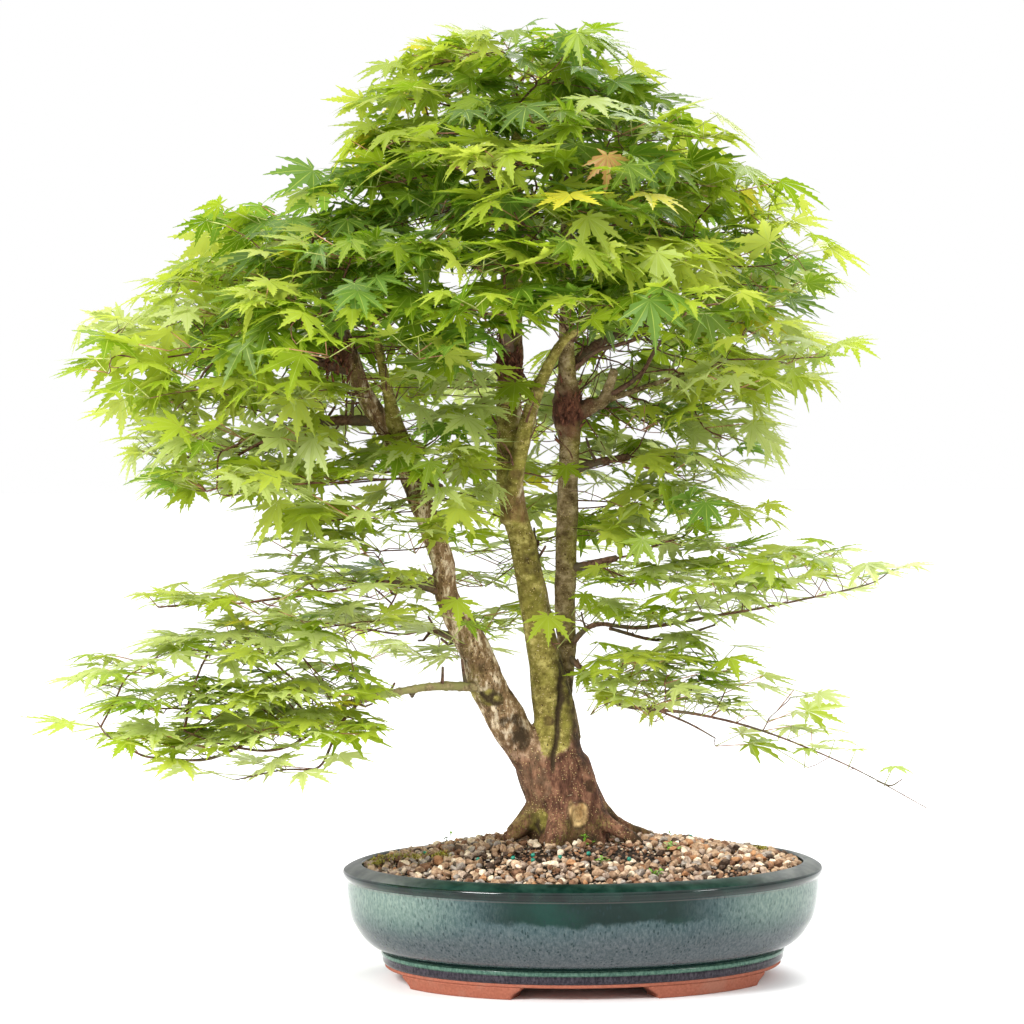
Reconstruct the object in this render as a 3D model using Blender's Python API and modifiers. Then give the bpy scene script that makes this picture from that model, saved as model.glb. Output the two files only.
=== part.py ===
"""Japanese maple grown as a bonsai in an oval glazed pot.

Metres, +Z up, floor at z = 0. The pot's long side runs along X, and -Y is the front.
Every shape is laid out from the middle of the pot, and one empty carries the whole
plant so that the middle of its bounding box stands over the origin.
"""
import math

import bmesh
import bpy
from mathutils import Vector, noise

# Where the middle of the pot stands, so that the whole plant is centred on the origin
POT_CENTRE = (0.0885, -0.015, 0.0)
GAP = 0.0003  # left between pieces that touch

# Pot: widths are half of the long side; the half depth is smaller by OVAL everywhere
OVAL = 0.0445
OVAL_FULL_FROM = 0.150  # half width from which the whole of OVAL is taken off
POT_SEGMENTS = 32
RIM_INNER = 0.2195
RIM_OUTER = 0.2395
RIM_HEIGHT = 0.1150
WALL_FOOT = 0.1975
BAND_WIDTH = 0.2015
BASE_HEIGHT = 0.0124  # underside of the bowl above the floor
FLOOR_TOP = 0.0265
FLOOR_WIDTH = 0.1960
INNER_WALL = ((0.2100, 0.0550), (0.2175, 0.0950))  # half width at a height

# Feet: four arcs of the oval, one at each corner
FOOT_WIDTH_TOP = 0.1975
FOOT_WIDTH_BOTTOM = 0.1940
FOOT_DEPTH = 0.0280
FOOT_FROM_DEG = 25.5  # from the feet's own long axis
FOOT_TO_DEG = 72.0
FEET_TURN_DEG = -5.8  # how far that axis is turned from the oval's
FOOT_BEVEL_DEG = 2.6  # how far the ends slope in
FOOT_STEPS = 6

DRAIN_RADIUS = 0.0125
DRAIN_OFFSET = 0.090

# Soil: heaped up to a flat place under the trunk
SOIL_TOP = 0.1325
SOIL_EDGE = 0.1110
SOIL_FLAT = 0.0850  # half width of the flat place
SOIL_WIDTH = 0.2190
SOIL_SWELL = 0.0030  # how far the slope bulges half way down

# Trunk foot
TRUNK_X = -0.0120
TRUNK_Y = 0.0300
FLARE = 0.0200  # how much wider the roots spread at the soil
FLARE_HEIGHT = 0.0110
ROOT_COUNT = 5
ROOT_RIDGE = 0.16
ROOT_TURN_DEG = 200.0

# Meshing
TRUNK_SIDES = 3  # bevel resolution of the three stems
BOUGH_SIDES = 1
STEPS_PER_SPAN = 2
MASS_SEGMENTS = 12
MASS_RINGS = 7
UNEVEN = 0.28  # depth of the lumps on a foliage mass, against its own radius
LUMP_SIZE = 1.7
FULLNESS = 0.80  # below 1 a mass is squarer than a ball
UNDERSIDE = 0.80  # a mass is flatter below than above

# Limbs: (parent, [(x, y, z, radius), ...]) from the foot to the tip
LIMBS = {
    "trunk_centre": (None, [
        (TRUNK_X, TRUNK_Y, SOIL_TOP + GAP, 0.0385),
        (-0.0160, 0.030, 0.176, 0.0365),
        (-0.0270, 0.030, 0.212, 0.0370),
        (-0.0235, 0.030, 0.252, 0.0225),
        (-0.0356, 0.030, 0.322, 0.0160),
        (-0.0530, 0.025, 0.413, 0.0136),
        (-0.0698, 0.020, 0.490, 0.0125),
        (-0.0690, 0.020, 0.608, 0.0120),
        (-0.0650, 0.015, 0.731, 0.0092),
        (-0.0620, 0.005, 0.872, 0.0040),
    ]),
    "trunk_left": ("trunk_centre", [
        (-0.0400, 0.030, 0.200, 0.0175),
        (-0.0700, 0.025, 0.249, 0.0180),
        (-0.0908, 0.020, 0.284, 0.0176),
        (-0.1070, 0.018, 0.326, 0.0155),
        (-0.1321, 0.014, 0.374, 0.0115),
        (-0.1388, 0.010, 0.414, 0.0110),
        (-0.1614, 0.000, 0.474, 0.0108),
        (-0.1817, -0.010, 0.523, 0.0098),
        (-0.2180, -0.020, 0.580, 0.0085),
        (-0.2400, -0.024, 0.640, 0.0066),
        (-0.2620, -0.018, 0.700, 0.0045),
    ]),
    "trunk_right": ("trunk_centre", [
        (-0.0165, 0.038, 0.262, 0.0090),
        (-0.0090, 0.048, 0.318, 0.0085),
        (-0.0098, 0.055, 0.371, 0.0100),
        (-0.0063, 0.055, 0.479, 0.0108),
        (-0.0046, 0.055, 0.523, 0.0098),
        (-0.0060, 0.055, 0.562, 0.0125),
        (-0.0078, 0.050, 0.600, 0.0085),
        (-0.0070, 0.055, 0.700, 0.0065),
        (-0.0060, 0.075, 0.778, 0.0045),
    ]),
    "bough_green": ("trunk_centre", [
        (-0.0700, 0.016, 0.466, 0.0088),
        (-0.0632, 0.000, 0.514, 0.0084),
        (-0.0482, -0.012, 0.574, 0.0060),
        (-0.0240, -0.035, 0.628, 0.0050),
        (0.0000, -0.085, 0.648, 0.0040),
    ]),
    "bough_knuckle": ("trunk_right", [
        (-0.0055, 0.054, 0.556, 0.0080),
        (0.0125, 0.050, 0.5665, 0.0075),
        (0.0467, 0.040, 0.5785, 0.0058),
        (0.1460, 0.005, 0.612, 0.0040),
    ]),
    "bough_stub": ("bough_knuckle", [
        (0.0290, 0.046, 0.574, 0.0058),
        (0.0400, 0.044, 0.603, 0.0055),
    ]),
    "bough_right_upper": ("trunk_right", [
        (-0.0090, 0.049, 0.322, 0.0045),
        (0.0162, 0.030, 0.347, 0.0036),
        (0.0632, 0.005, 0.3455, 0.0032),
        (0.1494, 0.000, 0.359, 0.0027),
        (0.2150, 0.000, 0.386, 0.0022),
    ]),
    "bough_right_low": ("trunk_right", [
        (-0.0090, 0.048, 0.316, 0.0045),
        (0.0158, 0.000, 0.290, 0.0038),
        (0.0342, -0.030, 0.271, 0.0034),
        (0.1056, -0.050, 0.2627, 0.0028),
        (0.1735, -0.060, 0.2449, 0.0024),
        (0.2586, -0.060, 0.2092, 0.0018),
        (0.3352, -0.060, 0.1674, 0.0012),
    ]),
    "bough_mid_right": ("trunk_right", [
        (-0.0095, 0.055, 0.402, 0.0050),
        (0.0150, 0.045, 0.408, 0.0040),
        (0.0400, 0.035, 0.414, 0.0032),
    ]),
    "bough_right_under": ("trunk_right", [
        (-0.0058, 0.055, 0.500, 0.0050),
        (0.0200, 0.050, 0.510, 0.0042),
        (0.0550, 0.045, 0.516, 0.0034),
    ]),
    "bough_right_shoulder": ("trunk_right", [
        (-0.0078, 0.050, 0.632, 0.0060),
        (0.0400, 0.032, 0.680, 0.0050),
        (0.1000, 0.012, 0.715, 0.0038),
    ]),
    "bough_right_back": ("trunk_right", [
        (-0.0078, 0.050, 0.604, 0.0055),
        (0.0300, 0.090, 0.632, 0.0046),
        (0.0850, 0.130, 0.655, 0.0036),
    ]),
    "bough_top_right": ("trunk_centre", [
        (-0.0650, 0.015, 0.742, 0.0055),
        (-0.0200, 0.012, 0.786, 0.0046),
        (0.0330, 0.005, 0.812, 0.0036),
    ]),
    "bough_top_left": ("trunk_centre", [
        (-0.0645, 0.014, 0.757, 0.0055),
        (-0.0980, 0.005, 0.798, 0.0046),
        (-0.1330, -0.006, 0.820, 0.0036),
    ]),
    "bough_top_front": ("trunk_centre", [
        (-0.0658, 0.016, 0.708, 0.0055),
        (-0.0640, -0.025, 0.735, 0.0046),
        (-0.0620, -0.070, 0.762, 0.0036),
    ]),
    "bough_centre_front": ("trunk_centre", [
        (-0.0690, 0.020, 0.620, 0.0055),
        (-0.0800, -0.040, 0.636, 0.0046),
        (-0.0920, -0.112, 0.655, 0.0036),
    ]),
    "bough_mid_back": ("trunk_centre", [
        (-0.0510, 0.026, 0.402, 0.0050),
        (-0.0420, 0.080, 0.416, 0.0042),
        (-0.0300, 0.122, 0.428, 0.0034),
    ]),
    "bough_left_front": ("trunk_left", [
        (-0.2370, -0.023, 0.630, 0.0050),
        (-0.2440, -0.055, 0.642, 0.0044),
        (-0.2500, -0.090, 0.650, 0.0036),
    ]),
    "bough_left_tip": ("trunk_left", [
        (-0.2260, -0.021, 0.600, 0.0058),
        (-0.2950, -0.020, 0.618, 0.0050),
        (-0.3700, -0.020, 0.622, 0.0040),
    ]),
    "bough_left_under": ("trunk_left", [
        (-0.2010, -0.015, 0.552, 0.0058),
        (-0.2450, -0.016, 0.552, 0.0050),
        (-0.2900, -0.020, 0.545, 0.0040),
    ]),
    "bough_left_back": ("trunk_left", [
        (-0.2310, -0.022, 0.614, 0.0056),
        (-0.2420, 0.040, 0.634, 0.0048),
        (-0.2600, 0.105, 0.650, 0.0038),
    ]),
    "bough_centre_under": ("trunk_left", [
        (-0.1710, -0.004, 0.497, 0.0042),
        (-0.1600, -0.028, 0.494, 0.0036),
        (-0.1450, -0.050, 0.487, 0.0030),
    ]),
    "bough_left_tier": ("trunk_left", [
        (-0.1335, 0.013, 0.380, 0.0048),
        (-0.1650, 0.004, 0.390, 0.0042),
        (-0.2050, -0.008, 0.392, 0.0034),
    ]),
    "bough_low_back": ("trunk_left", [
        (-0.1080, 0.018, 0.330, 0.0048),
        (-0.1280, 0.070, 0.336, 0.0040),
        (-0.1450, 0.118, 0.340, 0.0032),
    ]),
    "bough_low_left": ("trunk_left", [
        (-0.0915, 0.019, 0.286, 0.0052),
        (-0.1441, -0.020, 0.291, 0.0042),
        (-0.1860, -0.045, 0.288, 0.0037),
        (-0.2400, -0.070, 0.279, 0.0030),
    ]),
}

# Foliage masses: (middle, half sizes along X, Y and Z)
MASSES = {
    "crown_top": ((-0.063, 0.000, 0.898), (0.135, 0.130, 0.055)),
    "crown_top_left": ((-0.165, -0.020, 0.826), (0.085, 0.125, 0.066)),
    "crown_top_right": ((0.078, 0.000, 0.822), (0.092, 0.130, 0.068)),
    "crown_top_front": ((-0.050, -0.135, 0.780), (0.125, 0.115, 0.072)),
    "crown_top_back": ((-0.015, 0.165, 0.802), (0.165, 0.120, 0.110)),
    "left_shoulder": ((-0.285, 0.000, 0.718), (0.122, 0.135, 0.060)),
    "left_tip": ((-0.425, -0.020, 0.615), (0.093, 0.125, 0.066)),
    "left_front": ((-0.258, -0.150, 0.652), (0.108, 0.115, 0.072)),
    "left_under": ((-0.350, -0.010, 0.527), (0.125, 0.135, 0.058)),
    "left_back": ((-0.286, 0.180, 0.650), (0.160, 0.125, 0.105)),
    "centre_front": ((-0.105, -0.175, 0.668), (0.105, 0.100, 0.063)),
    "right_shoulder": ((0.170, 0.000, 0.730), (0.118, 0.135, 0.064)),
    "right_tip": ((0.205, -0.010, 0.625), (0.096, 0.125, 0.065)),
    "right_front": ((0.045, -0.150, 0.650), (0.105, 0.115, 0.075)),
    "right_back": ((0.155, 0.180, 0.668), (0.142, 0.120, 0.105)),
    "right_under": ((0.118, 0.030, 0.520), (0.108, 0.110, 0.052)),
    "mid_right": ((0.110, 0.020, 0.416), (0.103, 0.115, 0.052)),
    "mid_left": ((-0.240, -0.030, 0.478), (0.095, 0.110, 0.052)),
    "mid_left_low": ((-0.262, -0.020, 0.384), (0.112, 0.110, 0.048)),
    "left_tier": ((-0.359, -0.020, 0.364), (0.080, 0.070, 0.025)),
    "low_left": ((-0.297, -0.090, 0.272), (0.100, 0.105, 0.066)),
    "low_left_tip": ((-0.455, -0.100, 0.273), (0.076, 0.080, 0.053)),
    "right_tier": ((0.272, 0.000, 0.406), (0.082, 0.070, 0.030)),
    "low_right": ((0.078, -0.040, 0.293), (0.077, 0.080, 0.038)),
    "low_right_tip": ((0.185, -0.060, 0.254), (0.088, 0.065, 0.032)),
    "centre_under": ((-0.130, -0.054, 0.518), (0.050, 0.054, 0.096)),
    "mid_back": ((-0.026, 0.180, 0.474), (0.140, 0.100, 0.140)),
    "low_back": ((-0.168, 0.170, 0.345), (0.130, 0.090, 0.055)),
}


def clear_scene():
    for obj in list(bpy.data.objects):
        bpy.data.objects.remove(obj, do_unlink=True)


def new_collection(name):
    collection = bpy.data.collections.new(name)
    bpy.context.scene.collection.children.link(collection)
    return collection


def new_material(name, colour, roughness, coat=0.0):
    material = bpy.data.materials.new(name)
    material.use_nodes = True
    shader = material.node_tree.nodes["Principled BSDF"]
    shader.inputs["Base Color"].default_value = (*colour, 1.0)
    shader.inputs["Roughness"].default_value = roughness
    shader.inputs["Metallic"].default_value = 0.0
    shader.inputs["Coat Weight"].default_value = coat
    material.diffuse_color = (*colour, 1.0)
    return material


clear_scene()
PLANT = new_collection("potted_maple_bonsai")
CUTTERS = new_collection("cutters")
FRAME = bpy.data.objects.new("plant_frame", None)
FRAME.location = POT_CENTRE
PLANT.objects.link(FRAME)

GLAZE = new_material("teal_glaze", (0.055, 0.130, 0.125), 0.18, coat=1.0)
TERRACOTTA = new_material("terracotta", (0.560, 0.190, 0.085), 0.85)
GRAVEL = new_material("gravel", (0.400, 0.300, 0.200), 0.90)
BARK = new_material("bark", (0.180, 0.120, 0.070), 0.85)
GREEN_BARK = new_material("green_bark", (0.300, 0.300, 0.090), 0.80)
LEAVES = new_material("maple_leaves", (0.110, 0.260, 0.030), 0.60)


def add_object(name, mesh, material, collection=PLANT):
    obj = bpy.data.objects.new(name, mesh)
    if not mesh.materials:
        mesh.materials.append(material)
    collection.objects.link(obj)
    obj.parent = FRAME
    if collection is CUTTERS:
        obj.hide_render = True
        obj.display_type = "WIRE"
    return obj


def mesh_from(bm, name):
    bmesh.ops.recalc_face_normals(bm, faces=bm.faces)
    if bm.calc_volume(signed=True) < 0.0:
        bmesh.ops.reverse_faces(bm, faces=bm.faces)
    mesh = bpy.data.meshes.new(name)
    bm.to_mesh(mesh)
    bm.free()
    return mesh


def evaluated_mesh(obj):
    """The mesh that obj's modifiers or curve settings make; obj itself is removed."""
    graph = bpy.context.evaluated_depsgraph_get()
    mesh = bpy.data.meshes.new_from_object(obj.evaluated_get(graph))
    bpy.data.objects.remove(obj, do_unlink=True)
    return mesh


def shade_round(mesh, angle_deg=40.0):
    mesh.shade_smooth()
    mesh.set_sharp_from_angle(angle=math.radians(angle_deg))


def cut(obj, cutter):
    boolean = obj.modifiers.new("cut_" + cutter.name, "BOOLEAN")
    boolean.operation = "DIFFERENCE"
    boolean.solver = "EXACT"
    boolean.object = cutter


# ---------------------------------------------------------------- pot and soil

def half_depth(half_width):
    """The oval's half depth where its half width is this."""
    return half_width - OVAL * min(1.0, half_width / OVAL_FULL_FROM)


def turned_oval(name, profile):
    """A profile turned round Z, then drawn in along Y to the pot's oval."""
    mesh = bpy.data.meshes.new(name)
    points = [(width, 0.0, height) for width, height in profile]
    edges = [(i, i + 1) for i in range(len(points) - 1)]
    mesh.from_pydata(points, edges, [])
    obj = bpy.data.objects.new(name, mesh)
    PLANT.objects.link(obj)
    screw = obj.modifiers.new("turn", "SCREW")
    screw.steps = POT_SEGMENTS
    screw.render_steps = POT_SEGMENTS
    screw.use_merge_vertices = True
    screw.merge_threshold = 0.0001
    turned = evaluated_mesh(obj)
    for vertex in turned.vertices:
        radius = math.hypot(vertex.co.x, vertex.co.y)
        if radius > 0.0:
            vertex.co.y *= half_depth(radius) / radius
    return turned


def bowl_profile():
    """From the middle of the inner floor up the inside, over the rim and down outside."""
    return [
        (0.0, FLOOR_TOP),
        (FLOOR_WIDTH, FLOOR_TOP),
        *INNER_WALL,
        (RIM_INNER, 0.1135),
        (RIM_INNER + 0.0030, RIM_HEIGHT),
        (0.2320, 0.1125),
        (RIM_OUTER, 0.1060),
        (0.2375, 0.1005),
        (0.2358, 0.0970),
        (0.2350, 0.0840),
        (0.2315, 0.0635),
        (0.2256, 0.0515),
        (0.2187, 0.0415),
        (0.2090, 0.0328),
        (WALL_FOOT, 0.0298),
        (BAND_WIDTH, 0.0240),
        (BAND_WIDTH, 0.0200),
        (WALL_FOOT, 0.0160),
        (WALL_FOOT, BASE_HEIGHT),
        (0.0, BASE_HEIGHT),
    ]


def make_bowl():
    bowl = add_object("pot_bowl", turned_oval("pot_bowl", bowl_profile()), GLAZE)
    shade_round(bowl.data)
    for side, label in ((-1, "left"), (1, "right")):
        bm = bmesh.new()
        bmesh.ops.create_cone(
            bm, cap_ends=True, segments=16, radius1=DRAIN_RADIUS, radius2=DRAIN_RADIUS,
            depth=4 * BASE_HEIGHT,
        )
        bmesh.ops.translate(bm, vec=(side * DRAIN_OFFSET, 0.0, BASE_HEIGHT), verts=bm.verts)
        drill = add_object("drain_" + label, mesh_from(bm, "drain"), TERRACOTTA, CUTTERS)
        cut(bowl, drill)


def oval_point(half_width, angle):
    return half_width * math.cos(angle), half_depth(half_width) * math.sin(angle)


def make_foot(name, side_x, side_y):
    """A bar bent along the oval, drawn in towards the floor, with its ends sloped."""
    bm = bmesh.new()
    bmesh.ops.create_cube(bm, size=1.0)
    along = [edge for edge in bm.edges if abs(edge.verts[0].co.x - edge.verts[1].co.x) > 0.5]
    bmesh.ops.subdivide_edges(bm, edges=along, cuts=FOOT_STEPS - 1, use_grid_fill=True)
    for vertex in bm.verts:
        along_share = vertex.co.x + 0.5
        low = vertex.co.z < 0.0
        slope = FOOT_BEVEL_DEG if low else 0.0
        start = FOOT_FROM_DEG + slope
        along_deg = start + along_share * (FOOT_TO_DEG - slope - start)
        angle = math.radians(along_deg + side_x * side_y * FEET_TURN_DEG)
        width = FOOT_WIDTH_BOTTOM if low else FOOT_WIDTH_TOP
        if vertex.co.y > 0.0:
            width -= FOOT_DEPTH
        x, y = oval_point(width, angle)
        vertex.co = (side_x * x, side_y * y, 0.0 if low else BASE_HEIGHT - GAP)
    add_object(name, mesh_from(bm, name), TERRACOTTA)


def make_feet():
    for side_y, depth_label in ((-1, "front"), (1, "back")):
        for side_x, side_label in ((-1, "left"), (1, "right")):
            make_foot(f"pot_foot_{depth_label}_{side_label}", side_x, side_y)


def make_soil():
    """The filling: inside the bowl's wall by GAP, heaped under the trunk."""
    clearance = 2 * GAP
    profile = [
        (0.0, SOIL_TOP),
        (SOIL_FLAT, SOIL_TOP),
        (0.5 * (SOIL_FLAT + SOIL_WIDTH), 0.5 * (SOIL_TOP + SOIL_EDGE) + SOIL_SWELL),
        (SOIL_WIDTH - clearance, SOIL_EDGE),
        *[(width - clearance, height) for width, height in reversed(INNER_WALL)],
        (FLOOR_WIDTH - clearance, FLOOR_TOP + GAP),
        (0.0, FLOOR_TOP + GAP),
    ]
    mesh = turned_oval("soil", profile)
    for vertex in mesh.vertices:
        if vertex.co.z > SOIL_EDGE + GAP:
            share = 1.0 - math.hypot(vertex.co.x, vertex.co.y) / RIM_INNER
            vertex.co.x += TRUNK_X * share
            vertex.co.y += TRUNK_Y * share
    shade_round(mesh)
    add_object("soil", mesh, GRAVEL)


# ---------------------------------------------------------------------- limbs

def smooth_route(points):
    """Points and radii along a smooth curve through the limb's own points."""
    places = [Vector(p) for p in points]
    places = [2 * places[0] - places[1]] + places + [2 * places[-1] - places[-2]]
    route = []
    for i in range(1, len(places) - 2):
        before, start, end, after = places[i - 1:i + 3]
        for step in range(STEPS_PER_SPAN):
            t = step / STEPS_PER_SPAN
            place = 0.5 * (
                2 * start
                + (end - before) * t
                + (2 * before - 5 * start + 4 * end - after) * t ** 2
                + (3 * start - before - 3 * end + after) * t ** 3
            )
            route.append(place)
    route.append(places[-2])
    return route


def spread_roots(mesh, foot):
    """Widens the foot of the trunk into ridged roots and keeps its cut level."""
    for vertex in mesh.vertices:
        height = vertex.co.z - foot.z
        if height > 6 * FLARE_HEIGHT:
            continue
        offset = Vector((vertex.co.x - foot.x, vertex.co.y - foot.y, 0.0))
        turn = math.atan2(offset.y, offset.x) - math.radians(ROOT_TURN_DEG)
        fade = math.exp(-max(0.0, height) / FLARE_HEIGHT)
        ridge = 1.0 + ROOT_RIDGE * math.cos(ROOT_COUNT * turn) * fade
        if offset.length > 0.0:
            widened = (offset.length + FLARE * fade) * ridge
            vertex.co += offset.normalized() * (widened - offset.length)


def limb_mesh(name, points, extra=0.0):
    """One tapering limb with flat ends, swollen by extra all round."""
    route = smooth_route(points)
    is_trunk = name.startswith("trunk")
    if name == "trunk_centre":
        rise = Vector((0.0, 0.0, 0.5 * FLARE_HEIGHT, 0.0))
        route.insert(1, route[0] + rise)
        if extra:
            route[0] = route[0] - Vector((0.0, 0.0, 2 * extra, 0.0))
    curve = bpy.data.curves.new(name, "CURVE")
    curve.dimensions = "3D"
    curve.bevel_depth = 1.0
    curve.bevel_resolution = TRUNK_SIDES if is_trunk else BOUGH_SIDES
    curve.use_fill_caps = True
    spline = curve.splines.new("POLY")
    spline.points.add(len(route) - 1)
    for point, place in zip(spline.points, route):
        point.co = (place.x, place.y, place.z, 1.0)
        point.radius = place.w + extra
    obj = bpy.data.objects.new(name, curve)
    PLANT.objects.link(obj)
    mesh = evaluated_mesh(obj)
    bpy.data.curves.remove(curve)
    bm = bmesh.new()
    bm.from_mesh(mesh)
    bmesh.ops.remove_doubles(bm, verts=bm.verts, dist=0.00005)
    bpy.data.meshes.remove(mesh)
    mesh = mesh_from(bm, name)
    if name == "trunk_centre":
        spread_roots(mesh, route[0].to_3d())
    shade_round(mesh, 60.0)
    return mesh


def make_limbs():
    """Every limb, cut where it meets its parent; returns the swollen copies by name."""
    swollen = {}
    for name, (parent, points) in LIMBS.items():
        material = GREEN_BARK if name == "bough_green" else BARK
        limb = add_object(name, limb_mesh(name, points), material)
        copy = add_object(name + "_space", limb_mesh(name, points, GAP), BARK, CUTTERS)
        swollen[name] = copy
        if parent:
            cut(limb, swollen[parent])
    return swollen


# ------------------------------------------------------------- foliage masses

def reach(half, direction):
    """How far an ellipsoid of these half sizes reaches along a direction."""
    return Vector([h * d for h, d in zip(half, direction)]).length


def cell_planes(name):
    """Planes, as (direction, distance), that part a mass from its neighbours."""
    middle, half = (Vector(v) for v in MASSES[name])
    planes = []
    for other, (place, size) in MASSES.items():
        if other == name:
            continue
        between = Vector(place) - middle
        direction = between.normalized()
        mine, theirs = reach(half, direction), reach(size, direction)
        if between.length < 1.3 * (mine + theirs):
            planes.append((direction, between.length * mine / (mine + theirs) - 0.5 * GAP))
    return planes


def mass_mesh(name, seed):
    """A lumpy flattened ball of the named size, kept on its own side of every plane."""
    middle, half = (Vector(v) for v in MASSES[name])
    bm = bmesh.new()
    bmesh.ops.create_uvsphere(bm, u_segments=MASS_SEGMENTS, v_segments=MASS_RINGS, radius=1.0)
    shift = Vector((3.1 * seed, 1.7 * seed, 0.9 * seed))
    for vertex in bm.verts:
        swell = 1.0 + UNEVEN * noise.noise(vertex.co * LUMP_SIZE + shift)
        vertex.co = [math.copysign(abs(c) ** FULLNESS, c) for c in vertex.co]
        if vertex.co.z < 0.0:
            vertex.co.z *= UNDERSIDE
        vertex.co *= swell
    for axis in range(3):
        low = min(v.co[axis] for v in bm.verts)
        high = max(v.co[axis] for v in bm.verts)
        for vertex in bm.verts:
            share = (vertex.co[axis] - low) / (high - low)
            vertex.co[axis] = half[axis] * (2.0 * share - 1.0)
    for direction, distance in cell_planes(name):
        for vertex in bm.verts:
            along = vertex.co.dot(direction)
            if along > distance:
                vertex.co *= distance / along
    bmesh.ops.translate(bm, vec=middle, verts=bm.verts)
    mesh = mesh_from(bm, name)
    shade_round(mesh, 60.0)
    return mesh


def runs_near(points, middle, half):
    """Whether a limb comes into the box round a mass."""
    for place in smooth_route(points):
        offset = [abs(place[i] - middle[i]) - half[i] - place.w for i in range(3)]
        if max(offset) < 0.010:
            return True
    return False


def make_masses(swollen):
    for seed, (name, (middle, half)) in enumerate(MASSES.items()):
        mass = add_object("leaves_" + name, mass_mesh(name, seed), LEAVES)
        for limb, (parent, points) in LIMBS.items():
            if runs_near(points, middle, half):
                cut(mass, swollen[limb])


make_bowl()
make_feet()
make_soil()
make_masses(make_limbs())
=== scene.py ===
"""Looks of the potted maple bonsai: glaze, gravel, bark, twigs and leaves.

Metres, +Z up, -Y is the front. Shapes are laid out from the middle of the pot, as the
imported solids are, and new_mesh moves them to the pot's own place in the frame.
"""
import math

import bmesh
import bpy
import numpy as np
from mathutils import Matrix, Vector, kdtree, noise
from mathutils.bvhtree import BVHTree


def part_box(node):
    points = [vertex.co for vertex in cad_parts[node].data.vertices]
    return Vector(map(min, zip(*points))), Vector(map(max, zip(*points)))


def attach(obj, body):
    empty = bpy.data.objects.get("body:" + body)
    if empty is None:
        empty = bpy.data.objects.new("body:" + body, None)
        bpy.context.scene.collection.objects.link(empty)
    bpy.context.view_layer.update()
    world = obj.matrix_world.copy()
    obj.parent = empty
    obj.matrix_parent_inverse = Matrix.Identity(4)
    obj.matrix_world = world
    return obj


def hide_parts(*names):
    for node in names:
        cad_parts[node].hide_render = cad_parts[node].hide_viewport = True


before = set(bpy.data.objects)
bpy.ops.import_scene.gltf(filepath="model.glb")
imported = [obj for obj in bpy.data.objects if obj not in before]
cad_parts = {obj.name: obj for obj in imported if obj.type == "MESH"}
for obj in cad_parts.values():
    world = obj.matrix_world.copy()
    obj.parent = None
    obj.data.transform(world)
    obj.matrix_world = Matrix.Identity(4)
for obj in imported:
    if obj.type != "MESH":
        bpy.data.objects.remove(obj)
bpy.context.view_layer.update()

# ------------------------------------------------------------- driving sizes

BOWL_LOW, BOWL_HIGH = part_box("pot_bowl")
POT = Vector(((BOWL_LOW.x + BOWL_HIGH.x) / 2, (BOWL_LOW.y + BOWL_HIGH.y) / 2, 0.0))
HALF_LENGTH = (BOWL_HIGH.x - BOWL_LOW.x) / 2
HALF_DEPTH = (BOWL_HIGH.y - BOWL_LOW.y) / 2
OVAL = HALF_LENGTH - HALF_DEPTH  # the pot is this much shallower than long, each side
OVAL_FULL_FROM = 0.150  # half width from which the whole of OVAL comes off
RIM_HEIGHT = BOWL_HIGH.z
BASE_HEIGHT = BOWL_LOW.z
SOIL_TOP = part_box("soil")[1].z

# Pot, as half widths along X
LIP_WIDTH = 0.0200
LIP_INNER = HALF_LENGTH - LIP_WIDTH
WALL_TOP = HALF_LENGTH - 0.0037
WALL_FOOT = HALF_LENGTH - 0.0420
BAND_WIDTH = WALL_FOOT + 0.0040
POT_SEGMENTS = 160
BOWL_WOBBLE = 0.0012  # how far out of true the bowl is turned, against its width
RUN_STRETCH = (1.0, 1.0, 0.45)  # the glaze's specks run down a little
FOOT_DEPTH = 0.0280
FOOT_FROM_DEG = 25.5  # from the feet's own long axis
FOOT_TO_DEG = 72.0
FEET_TURN_DEG = -5.8  # how far that axis is turned from the oval's
FOOT_SLOPE_DEG = 3.4
FOOT_DRAW_IN = 0.0035
FOOT_STEPS = 24
FOOT_ROWS = 6
DRAIN_RADIUS = 0.0125
DRAIN_OFFSET = 0.090
WALL_LINE = RIM_HEIGHT - 0.0160  # where the wall meets the lip
BEAD_TOP = 0.0288
BEAD_FOOT = 0.0240
CLAY_TOP = 0.0157  # bare clay below this
POOL_AND_REFLECTION_X = -0.014  # middle of the nearly black green band under the lip, thick glaze with a painted dark reflection, from the pot's

# Soil and gravel
SOIL_EDGE = 0.1110
SOIL_FLAT = 0.0850
SOIL_BED_DROP = 0.0045  # the dark bed lies this far under the tops of the stones
SOIL_BED_FLOOR = 0.0900  # its underside
SOIL_RINGS = 44
PEBBLE_KINDS = 24
PEBBLE_CUTS = 10
PEBBLE_PLANES = (0.44, 0.78)  # how far out the cuts lie, against the pebble's radius
STONE_SPACING = 0.0096
GRIT_SPACING = 0.0061
ROW_PITCH = 0.866  # between rows of stones, against their spacing
SPOT_SCATTER = 0.22  # how far stones lie off their rows, likewise
TRUNK_CLEAR = 0.030  # no stones this near the trunk's middle
STONE_RADIUS = (0.0036, 0.0064)
GRIT_RADIUS = (0.0022, 0.0037)
PELLET_RADIUS = 0.0022
BLADES_PER_TUFT = 90

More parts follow.
